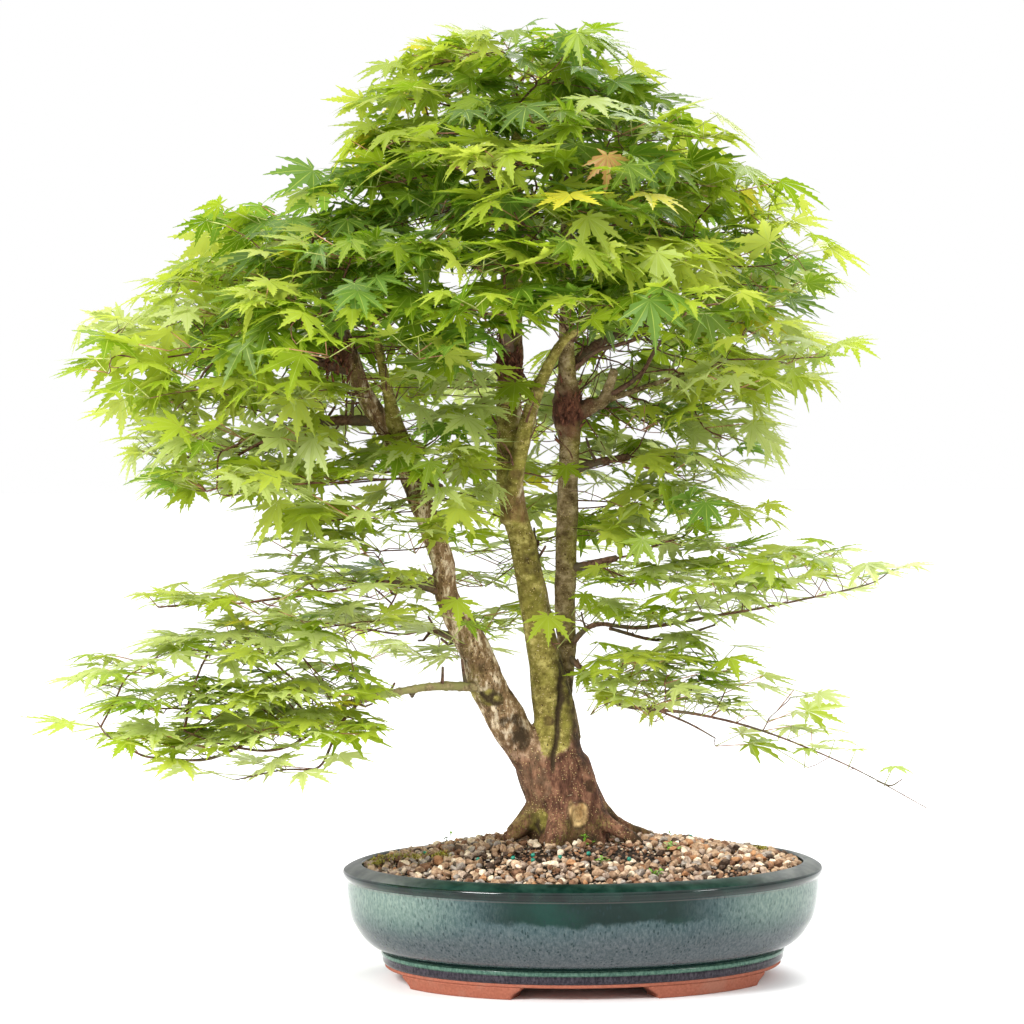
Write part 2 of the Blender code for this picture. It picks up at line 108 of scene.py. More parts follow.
# Bark
TRUNK_X = -0.0120
TRUNK_Y = 0.0300
BARK_VOXEL = 0.0017
SKIN_STEP = 0.0040  # along the limbs that are melted into one skin
ROUTE_STEP = 0.0030  # and along the others
MOSS_FROM = 0.2255  # height of the moss's lower edge on the middle trunk, at the pot's middle
MOSS_SLOPE = 0.29  # how that edge climbs along X
FISSURES = {"trunk_left": 1.0, "trunk_right": 0.9, "bough_knuckle": 0.9, "bough_stub": 0.7}
MOSSY_LIMBS = ("trunk_centre", "bough_green", "left_green_limb")
GREEN_BOUGHS = ("bough_low_left", "low_left_mid")
NODE_SPACING = 0.019  # between the swollen nodes of a bough
SPUR_SPACING = 0.034
BUDS_PER_BURL = 90

# Twigs and leaves
TARGET_VOLUME = 0.0000070  # cubic metres of a mass's box for each try at a shoot's tip
TARGET_SPACING = 0.0225
FULLNESS = {  # how densely sprays stand, where it isn't 1
    "left_under": 0.76, "right_under": 0.66, "mid_right": 0.60, "mid_left": 0.78, "mid_left_low": 0.62,
    "mid_back": 0.48, "low_back": 0.48, "left_tier": 0.94, "low_left": 1.40, "low_left_tip": 1.30,
    "right_tier": 0.72, "low_right_tip": 0.95, "right_tip": 0.27, "left_tip": 0.50, "right_back": 0.70,
    "left_back": 0.78, "crown_top_back": 0.85, "right_shoulder": 0.48, "right_front": 0.64,
    "crown_top_right": 0.70, "centre_front": 1.15,
}
SHELL = 0.075  # depth of the crown's leafy shell
INNER_SHARE = 0.45  # how many shoots are kept inside it
BRIDGE = 0.032  # masses this near each other grow together
BRIDGE_DEPTH = 0.004  # how deep a place between them counts
FRINGE_DEPTH = 0.075  # how far in the crown's edge parts into fingers
FRINGE_CUT = 0.05
FRINGE_RIGHT = 0.32  # how much more it parts to the right
GROW_STEP = 0.011
REACHED = 0.012
GROW_ROUNDS = 110
GROW_ONWARD = 0.6  # how much a shoot keeps its heading, against the pull of one target
GROW_WANDER = 0.10
GROW_BALANCED = 0.2  # under this pull the targets disagree, and the nearest has its way
TWIG_TIP = 0.00050  # radius
TWIG_MOST = 0.0034
PIPE_POWER = 2.3  # a twig's radius to this power is the sum of its shoots'
LAYER_GAP = 0.040  # between the tiers in which the sprays lie
TIER_SCATTER = 0.0035
LAYER_DIP = 0.10  # how much a tier falls away from the trunk, per metre
LEAF_REACH = 0.045  # how far leaves stand out past their shoot's tip
LEAF_LENGTH = 0.044  # middle lobe of a usual leaf
LEAF_SPREAD = 0.17  # of leaves' sizes, against LEAF_LENGTH
LEAF_SIZES = (0.55, 1.3)  # the least and the most, likewise
LEAF_TRIES = 6
LEAF_SHRINK = 0.95  # after each try without room
LEAF_OUTWARD = 0.6  # how much a leaf turns away from the trunks
LEAF_TURN = 0.30  # scatter of leaves' directions, in radians
LEAF_ROLL = 0.30  # and of how far they lean aside
LOW_ROLL = 0.18
END_SPREAD = 0.55  # turn of a shoot's last pair of leaves from its heading
SIDE_SPREAD = 1.10  # and of the pairs before it
PAIR_GAP = (0.018, 0.030)
KEPT_LEAVES = 0.85  # of those pairs
RED_STALKS = 0.22
LEAF_ROUGHNESS = 0.46
LEAF_GLOW_SHARE = 0.46
HANGING_SHARE = 0.12  # leaves whose blades hang steeply, in the crown
HANGING_DROOP = (38, 72)  # degrees
LEVEL_DROOP = (-10, 34)  # of the crown's other leaves
LOW_DROOP = (-10, 16)  # of the leaves below LOW_BELOW
TIER_PULL = 1.8  # how much further up counts than along, when a shoot grows
PETIOLE = 0.030
PETIOLE_SIZES = (0.7, 1.6)  # against PETIOLE
PETIOLE_RISE = (0.05, 0.70)  # up against along
OUTLINE_SLACK = 0.010  # how far a leaf's tip may leave the foliage mass
LOW_SLACK = 0.018  # and on the low boughs
LOW_BELOW = 0.430  # leaves below this height lie nearly level
PALE_BELOW = 0.600  # and sprays below this one are paler, partly painted light from the bright floor and surroundings
RIGHT_END = 0.220  # as are those beyond this, to the right
RIGHT_LIGHT = 0.080  # and this far to the right the crown is a little lighter, as painted light
LEFT_TIP_X = -0.360  # beyond this and above LEFT_TIP_Z the sprays are fresh, with some bronze
LEFT_TIP_Z = 0.570
PALE_SHARE = 0.40
COOL_SHARE = 0.10
YELLOW_SHARE = 0.004
ODD_LEAF_SHARE = 0.35  # leaves a shade off their spray's tint
INNER_PAINTED_SHADE = 1.5  # how many tints darker the sprays inside the crown are painted, as painted shade
DOME_MIDDLE = (-0.050, 0.005, 0.560)  # the crown is kept to a dome round this place
DOME_HALF = (0.425, 0.275, 0.398)
DOME_POWER = 1.6  # of its front, back and top; 2 would be an ellipse, 1 a tent
DOME_PLAN_POWER = 2.4  # of its outline from above
DOME_ROOM = 0.030  # how far past it leaves may stand
OPENINGS = [  # bare boughs show here: middle (x, y, z), half width and half height; open in front of y
    ((0.055, 0.030, 0.606), 0.058, 0.034),
    ((-0.215, -0.030, 0.607), 0.034, 0.026),
    ((-0.038, -0.050, 0.598), 0.034, 0.050),
    ((-0.064, -0.050, 0.525), 0.028, 0.036),
]
# Below these heights no twigs leave the trunks
BARE_TRUNK = {"trunk_centre": 0.34, "trunk_right": 0.34, "trunk_left": 0.36}
LEAFY_BRANCHES = {  # limbs with leaves along them, and how many pairs
    "low_left_outer": 9, "low_left_hanging": 9, "low_left_rising": 9, "low_left_mid": 9,
    "bough_right_upper": 14, "right_second": 5, "bough_right_low": 16,
}
BARE_TWIGS = 170
BARE_STEPS = 5
BARE_FROM = 0.500  # heights between which the bare twigs start
BARE_TO = 0.720
BARE_REACH = (0.028, 0.085)
BARE_RADIUS = (0.0009, 0.0015)

CAMERA_PLACE = Vector((-0.4170, -2.9717, 0.5051))  # from the middle of the pot

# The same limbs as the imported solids: (x, y, z, radius) from the foot to the tip
TRUNKS = {
    "trunk_centre": [
        (TRUNK_X, TRUNK_Y, 0.124, 0.044), (TRUNK_X, TRUNK_Y, 0.142, 0.04), (-0.016, 0.03, 0.176, 0.0365),
        (-0.027, 0.03, 0.212, 0.036), (-0.0235, 0.03, 0.252, 0.0225), (-0.0356, 0.03, 0.322, 0.016),
        (-0.053, 0.025, 0.413, 0.0136), (-0.0698, 0.02, 0.49, 0.0125), (-0.069, 0.02, 0.608, 0.012),
        (-0.065, 0.015, 0.731, 0.0092), (-0.062, 0.005, 0.872, 0.004),
    ],
    "trunk_left": [
        (-0.03, 0.03, 0.18, 0.0175), (-0.04, 0.03, 0.2, 0.0175), (-0.07, 0.025, 0.249, 0.018),
        (-0.0908, 0.02, 0.284, 0.0176), (-0.107, 0.018, 0.326, 0.0155), (-0.1321, 0.014, 0.374, 0.0115),
        (-0.1388, 0.01, 0.414, 0.011), (-0.1614, 0.0, 0.474, 0.0108), (-0.1817, -0.01, 0.523, 0.0098),
        (-0.218, -0.02, 0.58, 0.0085), (-0.24, -0.024, 0.64, 0.0066), (-0.262, -0.018, 0.7, 0.0045),
    ],
    "trunk_right": [
        (-0.022, 0.034, 0.23, 0.009), (-0.0165, 0.038, 0.262, 0.009), (-0.009, 0.048, 0.318, 0.0085),
        (-0.0098, 0.055, 0.371, 0.01), (-0.0063, 0.055, 0.479, 0.0108), (-0.0046, 0.055, 0.523, 0.0098),
        (-0.006, 0.055, 0.562, 0.0125), (-0.0078, 0.05, 0.6, 0.0085), (-0.007, 0.055, 0.7, 0.0065),
        (-0.006, 0.075, 0.778, 0.0045),
    ],
    "bough_knuckle": [
        (-0.0055, 0.054, 0.556, 0.0078), (0.0125, 0.05, 0.5665, 0.0066), (0.03, 0.045, 0.572, 0.0042),
        (0.0467, 0.04, 0.5785, 0.0028), (0.146, 0.005, 0.612, 0.0018),
    ],
    "bough_stub": [
        (0.018, 0.049, 0.566, 0.0056), (0.029, 0.046, 0.574, 0.0052), (0.04, 0.044, 0.603, 0.0048),
    ],
    "bough_green": [
        (-0.072, 0.018, 0.45, 0.0088), (-0.07, 0.016, 0.466, 0.0088), (-0.0632, 0.0, 0.514, 0.0084),
        (-0.0482, -0.012, 0.574, 0.006), (-0.024, -0.035, 0.628, 0.005), (0.0, -0.085, 0.648, 0.004),
    ],
}
SIDE_LIMBS = {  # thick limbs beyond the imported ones, melted into the trunks
    "left_green_limb": [
        (-0.159, 0.002, 0.48, 0.008), (-0.174, -0.012, 0.52, 0.0078), (-0.187, -0.026, 0.548, 0.0072),
        (-0.198, -0.04, 0.59, 0.005), (-0.208, -0.06, 0.632, 0.0032),
    ],
}
ROOTS = {
    "root_left": [
        (-0.028, 0.026, 0.185, 0.018), (-0.042, 0.022, 0.162, 0.015), (-0.058, 0.017, 0.147, 0.011),
        (-0.076, 0.012, 0.134, 0.008), (-0.09, 0.008, 0.126, 0.005),
    ],
    "root_right": [
        (0.003, 0.03, 0.18, 0.017), (0.018, 0.031, 0.16, 0.012), (0.038, 0.033, 0.148, 0.007),
        (0.06, 0.038, 0.138, 0.005), (0.078, 0.042, 0.13, 0.004),
    ],
    "root_right_front": [
        (0.002, 0.02, 0.172, 0.015), (0.02, 0.008, 0.153, 0.01), (0.042, 0.0, 0.139, 0.007),
        (0.058, -0.004, 0.129, 0.005),
    ],
    "root_front": [
        (-0.018, 0.008, 0.17, 0.016), (-0.025, -0.008, 0.15, 0.012), (-0.032, -0.024, 0.13, 0.008),
    ],
    "root_back_left": [
        (-0.023, 0.045, 0.172, 0.016), (-0.038, 0.062, 0.15, 0.011), (-0.052, 0.08, 0.13, 0.007),
    ],
    "root_back_right": [
        (-0.002, 0.045, 0.172, 0.015), (0.012, 0.064, 0.15, 0.01), (0.026, 0.082, 0.13, 0.006),
    ],
}
BOUGHS = {
    "bough_right_upper": [
        (-0.009, 0.049, 0.322, 0.0035), (0.0162, 0.03, 0.347, 0.0024), (0.0632, 0.005, 0.3455, 0.002),
        (0.1494, 0.0, 0.359, 0.0014), (0.1809, 0.0, 0.364, 0.0012), (0.2356, 0.0, 0.3746, 0.0009),
        (0.2925, 0.0, 0.3876, 0.0007), (0.3161, 0.0, 0.4021, 0.0005),
    ],
    "bough_right_low": [
        (-0.009, 0.048, 0.316, 0.0035), (0.0158, 0.0, 0.29, 0.0025), (0.0342, -0.03, 0.271, 0.0021),
        (0.1056, -0.05, 0.2627, 0.0014), (0.1735, -0.06, 0.2449, 0.001), (0.2586, -0.06, 0.2092, 0.0007),
        (0.3352, -0.06, 0.1674, 0.0004),
    ],
    "bough_mid_right": [
        (-0.0095, 0.055, 0.402, 0.005), (0.015, 0.045, 0.408, 0.004), (0.04, 0.035, 0.414, 0.0032),
    ],
    "bough_right_under": [
        (-0.0058, 0.055, 0.5, 0.005), (0.02, 0.05, 0.51, 0.0042), (0.055, 0.045, 0.516, 0.0034),
    ],
    "bough_right_shoulder": [
        (-0.0078, 0.05, 0.632, 0.006), (0.04, 0.032, 0.68, 0.005), (0.1, 0.012, 0.715, 0.0038),
    ],
    "bough_right_back": [
        (-0.0078, 0.05, 0.604, 0.0055), (0.03, 0.09, 0.632, 0.0046), (0.085, 0.13, 0.655, 0.0036),
    ],
    "bough_top_right": [
        (-0.065, 0.015, 0.742, 0.0055), (-0.02, 0.012, 0.786, 0.0046), (0.033, 0.005, 0.812, 0.0036),
    ],
    "bough_top_left": [
        (-0.0645, 0.014, 0.757, 0.0055), (-0.098, 0.005, 0.798, 0.0046), (-0.133, -0.006, 0.82, 0.0036),
    ],
    "bough_top_front": [
        (-0.0658, 0.016, 0.708, 0.0055), (-0.064, -0.025, 0.735, 0.0046), (-0.062, -0.07, 0.762, 0.0036),
    ],
    "bough_centre_front": [
        (-0.069, 0.02, 0.62, 0.0055), (-0.08, -0.04, 0.636, 0.0046), (-0.092, -0.112, 0.655, 0.0036),
    ],
    "bough_mid_back": [
        (-0.051, 0.026, 0.402, 0.005), (-0.042, 0.08, 0.416, 0.0042), (-0.03, 0.122, 0.428, 0.0034),
    ],
    "bough_left_front": [
        (-0.237, -0.023, 0.63, 0.005), (-0.244, -0.055, 0.642, 0.0044), (-0.25, -0.09, 0.65, 0.0036),
    ],
    "bough_left_tip": [
        (-0.226, -0.021, 0.6, 0.0058), (-0.295, -0.02, 0.618, 0.005), (-0.37, -0.02, 0.622, 0.004),
    ],
    "bough_left_under": [
        (-0.201, -0.015, 0.552, 0.0058), (-0.245, -0.016, 0.552, 0.005), (-0.29, -0.02, 0.545, 0.004),
    ],
    "bough_left_back": [
        (-0.231, -0.022, 0.614, 0.0056), (-0.242, 0.04, 0.634, 0.0048), (-0.26, 0.105, 0.65, 0.0038),
    ],
    "bough_centre_under": [
        (-0.171, -0.004, 0.497, 0.0042), (-0.16, -0.028, 0.494, 0.0036), (-0.145, -0.05, 0.487, 0.003),
    ],
    "bough_left_tier": [
        (-0.1335, 0.013, 0.38, 0.0048), (-0.165, 0.004, 0.39, 0.0042), (-0.205, -0.008, 0.392, 0.0034),
    ],
    "bough_low_back": [
        (-0.108, 0.018, 0.33, 0.0048), (-0.128, 0.07, 0.336, 0.004), (-0.145, 0.118, 0.34, 0.0032),
    ],
    "bough_low_left": [
        (-0.0915, 0.019, 0.286, 0.0052), (-0.1441, -0.02, 0.291, 0.0042), (-0.186, -0.045, 0.288, 0.0037),
        (-0.24, -0.07, 0.279, 0.003),
    ],
}
# Bare lengths of branch that show beyond the boughs
BRANCHES = {
    "knuckle_rising": [
        (0.035, 0.044, 0.5775, 0.003), (0.0638, 0.03, 0.5983, 0.0024), (0.0767, 0.015, 0.6229, 0.0019),
        (0.0874, 0.0, 0.6392, 0.0014),
    ],
    "knuckle_upper": [
        (0.0, 0.05, 0.605, 0.0028), (0.02, 0.045, 0.622, 0.0024), (0.0423, 0.035, 0.6287, 0.0021),
        (0.0624, 0.02, 0.6361, 0.0017), (0.0701, 0.005, 0.6474, 0.0012),
    ],
    "right_cut_twig": [
        (0.096, 0.024, 0.595, 0.0014), (0.1112, 0.03, 0.584, 0.0017), (0.1493, 0.01, 0.6131, 0.0022),
    ],
    "low_left_mid": [
        (-0.226, -0.066, 0.2815, 0.0026), (-0.2605, -0.08, 0.2719, 0.0022), (-0.2926, -0.09, 0.2617, 0.0019),
        (-0.3272, -0.1, 0.2488, 0.0015),
    ],
    "low_left_rising": [
        (-0.2605, -0.08, 0.2719, 0.0018), (-0.2793, -0.09, 0.2491, 0.0016), (-0.3102, -0.1, 0.238, 0.0014),
        (-0.3427, -0.11, 0.2413, 0.0012), (-0.3757, -0.12, 0.2512, 0.001), (-0.4009, -0.12, 0.2619, 0.0008),
    ],
    "low_left_hanging": [
        (-0.2272, -0.068, 0.28, 0.0017), (-0.2498, -0.075, 0.2541, 0.0014), (-0.2559, -0.08, 0.2373, 0.0013),
        (-0.269, -0.09, 0.2193, 0.0011), (-0.3018, -0.1, 0.2189, 0.0009), (-0.3478, -0.12, 0.2121, 0.0006),
    ],
    "low_left_outer": [
        (-0.3272, -0.1, 0.2488, 0.0015), (-0.3729, -0.11, 0.2314, 0.0014), (-0.4188, -0.12, 0.234, 0.0012),
        (-0.4375, -0.12, 0.238, 0.0011), (-0.4653, -0.118, 0.2544, 0.0009), (-0.476, -0.116, 0.268, 0.0007),
    ],
    "right_second": [
        (0.0304, 0.02, 0.3439, 0.0018), (0.0837, 0.02, 0.3318, 0.0015), (0.1378, 0.02, 0.3464, 0.001),
    ],
    "right_side_twig": [
        (0.285, -0.06, 0.1952, 0.0009), (0.2989, -0.058, 0.19, 0.0008), (0.311, -0.055, 0.1955, 0.0006),
    ],
    "right_bare": [
        (0.07, -0.042, 0.266, 0.0012), (0.0996, -0.05, 0.253, 0.001), (0.1245, -0.052, 0.2389, 0.0006),
    ],
}

THICK_LIMBS = {**TRUNKS, **SIDE_LIMBS}
FOLIAGE = {  # the finished pieces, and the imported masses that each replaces
    "foliage_top": ["crown_top", "crown_top_left", "crown_top_right", "crown_top_front"],
    "foliage_top_back": ["crown_top_back", "right_back"],
    "foliage_left": ["left_shoulder", "left_tip", "left_front", "left_under"],
    "foliage_left_back": ["left_back", "mid_back", "low_back"],
    "foliage_right": ["right_shoulder", "right_tip", "right_front", "right_under"],
    "foliage_middle": ["centre_front", "centre_under", "mid_right", "mid_left", "mid_left_low"],
    "foliage_low": [
        "left_tier", "low_left", "low_left_tip", "right_tier", "low_right", "low_right_tip",
    ],
}


# ------------------------------------------------------------------- meshes

def new_mesh(name, places, faces):
    mesh = bpy.data.meshes.new(name)
    moved = np.asarray(places, float) + np.array(POT)
    mesh.from_pydata(moved.tolist(), [], [list(face) for face in faces])
    return mesh


def mesh_of(name, bm):
    """The bmesh as a mesh; bm itself is freed."""
    mesh = bpy.data.meshes.new(name)
    bm.to_mesh(mesh)
    bm.free()
    return mesh


def linked(name, data):
    """A new object in the scene."""
    obj = bpy.data.objects.new(name, data)
    bpy.context.scene.collection.objects.link(obj)
    return obj


def new_piece(name, shape, materials, replaced=()):
    """A piece, from a mesh or a heap, that rides on the plant's one body and replaces these nodes."""
    mesh = shape.mesh(name) if isinstance(shape, Heap) else shape
    for material in materials:
        mesh.materials.append(material)
    obj = linked(name, mesh)
    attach(obj, "root")
    if replaced:
        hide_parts(*replaced)


def evaluated_mesh(obj):
    """The mesh that obj's modifiers make; obj itself is removed."""
    graph = bpy.context.evaluated_depsgraph_get()
    mesh = bpy.data.meshes.new_from_object(obj.evaluated_get(graph))
    bpy.data.objects.remove(obj, do_unlink=True)
    return mesh


def smooth_shaded(mesh, sharp_deg):
    """Smooth shading, with the edges sharper than this left crisp."""
    mesh.shade_smooth()
    mesh.set_sharp_from_angle(angle=math.radians(sharp_deg))


def ball(subdivisions, radius=1.0):
    """Places and triangles of a ball."""
    bm = bmesh.new()
    bmesh.ops.create_icosphere(bm, subdivisions=subdivisions, radius=radius)
    places = np.array([vertex.co[:] for vertex in bm.verts])
    faces = np.array([[vertex.index for vertex in face.verts] for face in bm.faces])
    bm.free()
    return places, faces


def skin_of(mesh):
    """A mesh's faces, for rays and distances from the middle of the pot."""
    return BVHTree.FromPolygons([v.co - POT for v in mesh.vertices], [p.vertices for p in mesh.polygons])


def tree_of(places):
    """A search tree of the places."""
    tree = kdtree.KDTree(len(places))
    for index, place in enumerate(places):
        tree.insert(place, index)
    tree.balance()
    return tree


class Heap:
    """Faces gathered for one joined piece, each with its material slot."""

    def __init__(self):
        self.places = []
        self.faces = []
        self.slots = []
        self.count = 0

    def add(self, places, faces, slot=0):
        self.places.append(np.asarray(places, float))
        self.faces.append(np.asarray(faces, int) + self.count)
        self.slots.append(np.broadcast_to(slot, len(faces)))
        self.count += len(places)

    def add_tube(self, sides, *points, slot=0):
        """A round tube through points given as (place, radius)."""
        self.add(*tube(np.array([(*place, radius) for place, radius in points]), sides), slot)

    def mesh(self, name, sharp_deg=None):
        faces = np.vstack(self.faces)
        mesh = new_mesh(name, np.vstack(self.places), faces)
        mesh.polygons.foreach_set("material_index", np.concatenate(self.slots).astype(np.int32))
        mesh.shade_smooth()
        if sharp_deg:
            mesh.set_sharp_from_angle(angle=math.radians(sharp_deg))
        return mesh


def smooth_route(points, step):
    """A smooth curve through the points, as rows of x, y, z and radius about step apart."""
    p = np.array(points, float)
    p = np.vstack([2 * p[0] - p[1], p, 2 * p[-1] - p[-2]])
    rows = []
    for before, start, end, after in zip(p, p[1:], p[2:], p[3:]):
        count = max(1, round(np.linalg.norm((end - start)[:3]) / step))
        for t in np.arange(count) / count:
            rows.append(0.5 * (
                2 * start
                + (end - before) * t
                + (2 * before - 5 * start + 4 * end - after) * t ** 2
                + (3 * start - before - 3 * end + after) * t ** 3
            ))
    rows.append(p[-2])
    route = np.array(rows)
    route[:, 3] = np.maximum(route[:, 3], p[:, 3].min())
    return route


def unit(v):
    return v / max(np.linalg.norm(v), 1e-12)


def clamped(value):
    return min(1.0, max(0.0, value))


def ring_quads(rings, sides):
    """Faces between successive rings of this many places."""
    ring = np.arange(sides)
    after = (ring + 1) % sides
    base = (np.arange(rings - 1) * sides)[:, None]
    return np.stack([base + ring, base + after, base + sides + after, base + sides + ring], -1).reshape(-1, 4)


def ring_caps(rings, sides):
    """Triangles that close the first and last ring to the two places that follow the rings."""
    ring = np.arange(sides)
    after = (ring + 1) % sides
    top = (rings - 1) * sides
    foot = np.stack([after, ring, np.full(sides, rings * sides)], -1)
    tip = np.stack([top + ring, top + after, np.full(sides, rings * sides + 1)], -1)
    return np.vstack([foot, tip])


def tube(route, sides):
    """Places and triangles of a round tube along the route, closed by a cone at each end."""
    line = route[:, :3]
    radii = route[:, 3]
    ahead = np.gradient(line, axis=0)
    side = unit(np.cross(ahead[0], (0.31, 0.17, 0.93)))  # any way but the tube's own
    turns = np.arange(sides) * 2 * math.pi / sides
    cosines = np.cos(turns)[:, None]
    sines = np.sin(turns)[:, None]
    rings = []
    for place, radius, tangent in zip(line, radii, ahead):
        tangent = unit(tangent)
        side = unit(side - tangent * (side @ tangent))
        other = np.cross(tangent, side)
        rings.append(place + radius * (cosines * side + sines * other))
    first = line[0] - unit(ahead[0]) * radii[0] * 0.5
    last = line[-1] + unit(ahead[-1]) * radii[-1] * 0.8
    quads = ring_quads(len(line), sides)
    faces = np.vstack([quads[:, :3], quads[:, [0, 2, 3]], ring_caps(len(line), sides)])
    return np.vstack(rings + [first[None], last[None]]), faces


# ---------------------------------------------------------------- materials

class Nodes:
    """A node tree, built with short calls."""

    def __init__(self, tree):
        self.tree = tree

    def node(self, kind, inputs=None, **settings):
        """A new node with these settings, its inputs fed by name or number."""
        made = self.tree.nodes.new(kind)
        for key, value in settings.items():
            setattr(made, key, value)
        for key, value in (inputs or {}).items():
            self.feed(made.inputs[key], value)
        return made

    def feed(self, socket, value):
        """Links a socket to value, or sets it where value is a plain number or colour."""
        if isinstance(value, bpy.types.NodeSocket):
            self.tree.links.new(value, socket)
        elif isinstance(value, tuple) and len(value) == 3 and socket.type == "RGBA":
            socket.default_value = (*value, 1.0)
        else:
            socket.default_value = value

    def maths(self, operation, a, b=0.0):
        return self.node("ShaderNodeMath", {0: a, 1: b}, operation=operation).outputs["Value"]

    def plus(self, a, b):
        return self.maths("ADD", a, b)

    def minus(self, a, b):
        return self.maths("SUBTRACT", a, b)

    def times(self, a, b):
        return self.maths("MULTIPLY", a, b)

    def mixed(self, factor, a, b):
        """Two shaders, b where factor is 1."""
        return self.node("ShaderNodeMixShader", {"Fac": factor, 1: a, 2: b}).outputs["Shader"]


class Finish(Nodes):
    """One material with a Principled shader."""

    def __init__(self, name, roughness, specular):
        self.material = bpy.data.materials.new(name)
        self.material.use_nodes = True
        super().__init__(self.material.node_tree)
        self.shader = self.tree.nodes["Principled BSDF"]
        self.put("Roughness", roughness)
        self.put("Specular IOR Level", specular)
        self.places = self.node("ShaderNodeTexCoord").outputs["Object"]

    def put(self, name, value):
        """Feeds one of the shader's own inputs."""
        self.feed(self.shader.inputs[name], value)

    def coat(self, weight, roughness):
        self.put("Coat Weight", weight)
        self.put("Coat Roughness", roughness)

    def stretched(self, scale):
        return self.node("ShaderNodeMapping", {"Vector": self.places, "Scale": scale}).outputs["Vector"]

    def noise(self, scale, detail=4.0, roughness=0.55, places=None):
        inputs = {"Vector": places or self.places, "Scale": scale, "Detail": detail, "Roughness": roughness}
        return self.node("ShaderNodeTexNoise", inputs).outputs["Fac"]

    def cells(self, scale, feature="F1", places=None):
        inputs = {"Vector": places or self.places, "Scale": scale}
        return self.node("ShaderNodeTexVoronoi", inputs, feature=feature).outputs["Distance"]

    def attribute(self, name):
        return self.node("ShaderNodeAttribute", attribute_name=name).outputs["Fac"]

    def split(self):
        """The x, y and z of the place, in the frame."""
        return self.node("ShaderNodeSeparateXYZ", {"Vector": self.places}).outputs

    def share(self, value, low, high):
        """0 below low, 1 above high and smooth between."""
        inputs = {"Value": value, "From Min": low, "From Max": high}
        return self.node("ShaderNodeMapRange", inputs, interpolation_type="SMOOTHSTEP").outputs["Result"]

    def ramp(self, factor, *stops):
        """Colours along factor, from stops given as (place, colour)."""
        made = self.node("ShaderNodeValToRGB", {"Fac": factor})
        elements = made.color_ramp.elements
        while len(elements) < len(stops):
            elements.new(0.5)
        for element, (place, colour) in zip(elements, stops):
            element.position = place
            element.color = (*colour, 1.0)
        return made.outputs["Color"]

    def blend(self, factor, a, b):
        """Two colours, b where factor is 1."""
        inputs = {"Factor": factor, "A": a, "B": b}
        return self.node("ShaderNodeMix", inputs, data_type="RGBA").outputs["Result"]

    def bump(self, height, strength, distance):
        inputs = {"Strength": strength, "Distance": distance, "Height": height}
        normal = self.node("ShaderNodeBump", inputs).outputs["Normal"]
        self.put("Normal", normal)
        return normal


def off_pool_and_reflection(f):
    """How far the place is along X from the middle of the nearly black green band, thick glaze with a painted
    dark reflection.
    """
    return f.maths("ABSOLUTE", f.minus(f.split()[0], POT.x + POOL_AND_REFLECTION_X))


def wall_glaze(f, z, runs):
    """The wall's colour: teal, lilac-grey low down, pale at the ends partly as painted reflected sheen, and
    nearly black green under the lip in the middle, partly painted dark reflection.
    """
    off_middle = off_pool_and_reflection(f)
    cloud = f.noise(16.0, 3.0, 0.5)
    body = f.ramp(
        runs, (0.36, (0.018, 0.044, 0.047)), (0.50, (0.040, 0.070, 0.074)), (0.64, (0.070, 0.102, 0.104)))
    lilac = f.ramp(runs, (0.38, (0.038, 0.053, 0.059)), (0.62, (0.090, 0.104, 0.110)))
    pale = f.ramp(runs, (0.36, (0.095, 0.150, 0.128)), (0.64, (0.210, 0.275, 0.235)))
    green = f.ramp(cloud, (0.40, (0.000, 0.010, 0.007)), (0.62, (0.001, 0.026, 0.018)))
    low = f.blend(f.share(f.plus(z, f.times(cloud, 0.03)), 0.096, 0.066), body, lilac)
    # Painted reflection: towards both ends the wall turns pale green, partly paler glaze and partly painted
    # sheen from the white surroundings, and its specks fade.
    ends = f.times(f.share(off_middle, 0.100, 0.190), f.share(z, 0.050, 0.090))
    ended = f.blend(f.times(ends, 0.9), low, pale)
    ragged = f.plus(f.noise(34.0, 2.0), f.times(f.noise(160.0, 3.0), 0.35))
    wavy = f.plus(z, f.times(ragged, 0.020))
    # Nearly black green under the lip, in the middle of the pot's length: partly thick glaze, partly painted
    # dark reflection.
    pool_and_reflection = f.times(f.share(off_middle, 0.132, 0.070), f.share(wavy, 0.0885, 0.0945))
    pooled_and_reflected = f.blend(f.times(pool_and_reflection, 0.95), ended, green)
    dots = f.cells(300.0, places=f.stretched(RUN_STRETCH))
    specks = f.times(f.share(dots, 0.34, 0.20), f.share(f.noise(90.0), 0.42, 0.54))
    fading = f.minus(0.8, f.times(ends, 0.45))
    return f.blend(f.times(specks, fading), pooled_and_reflected, (0.006, 0.020, 0.022))


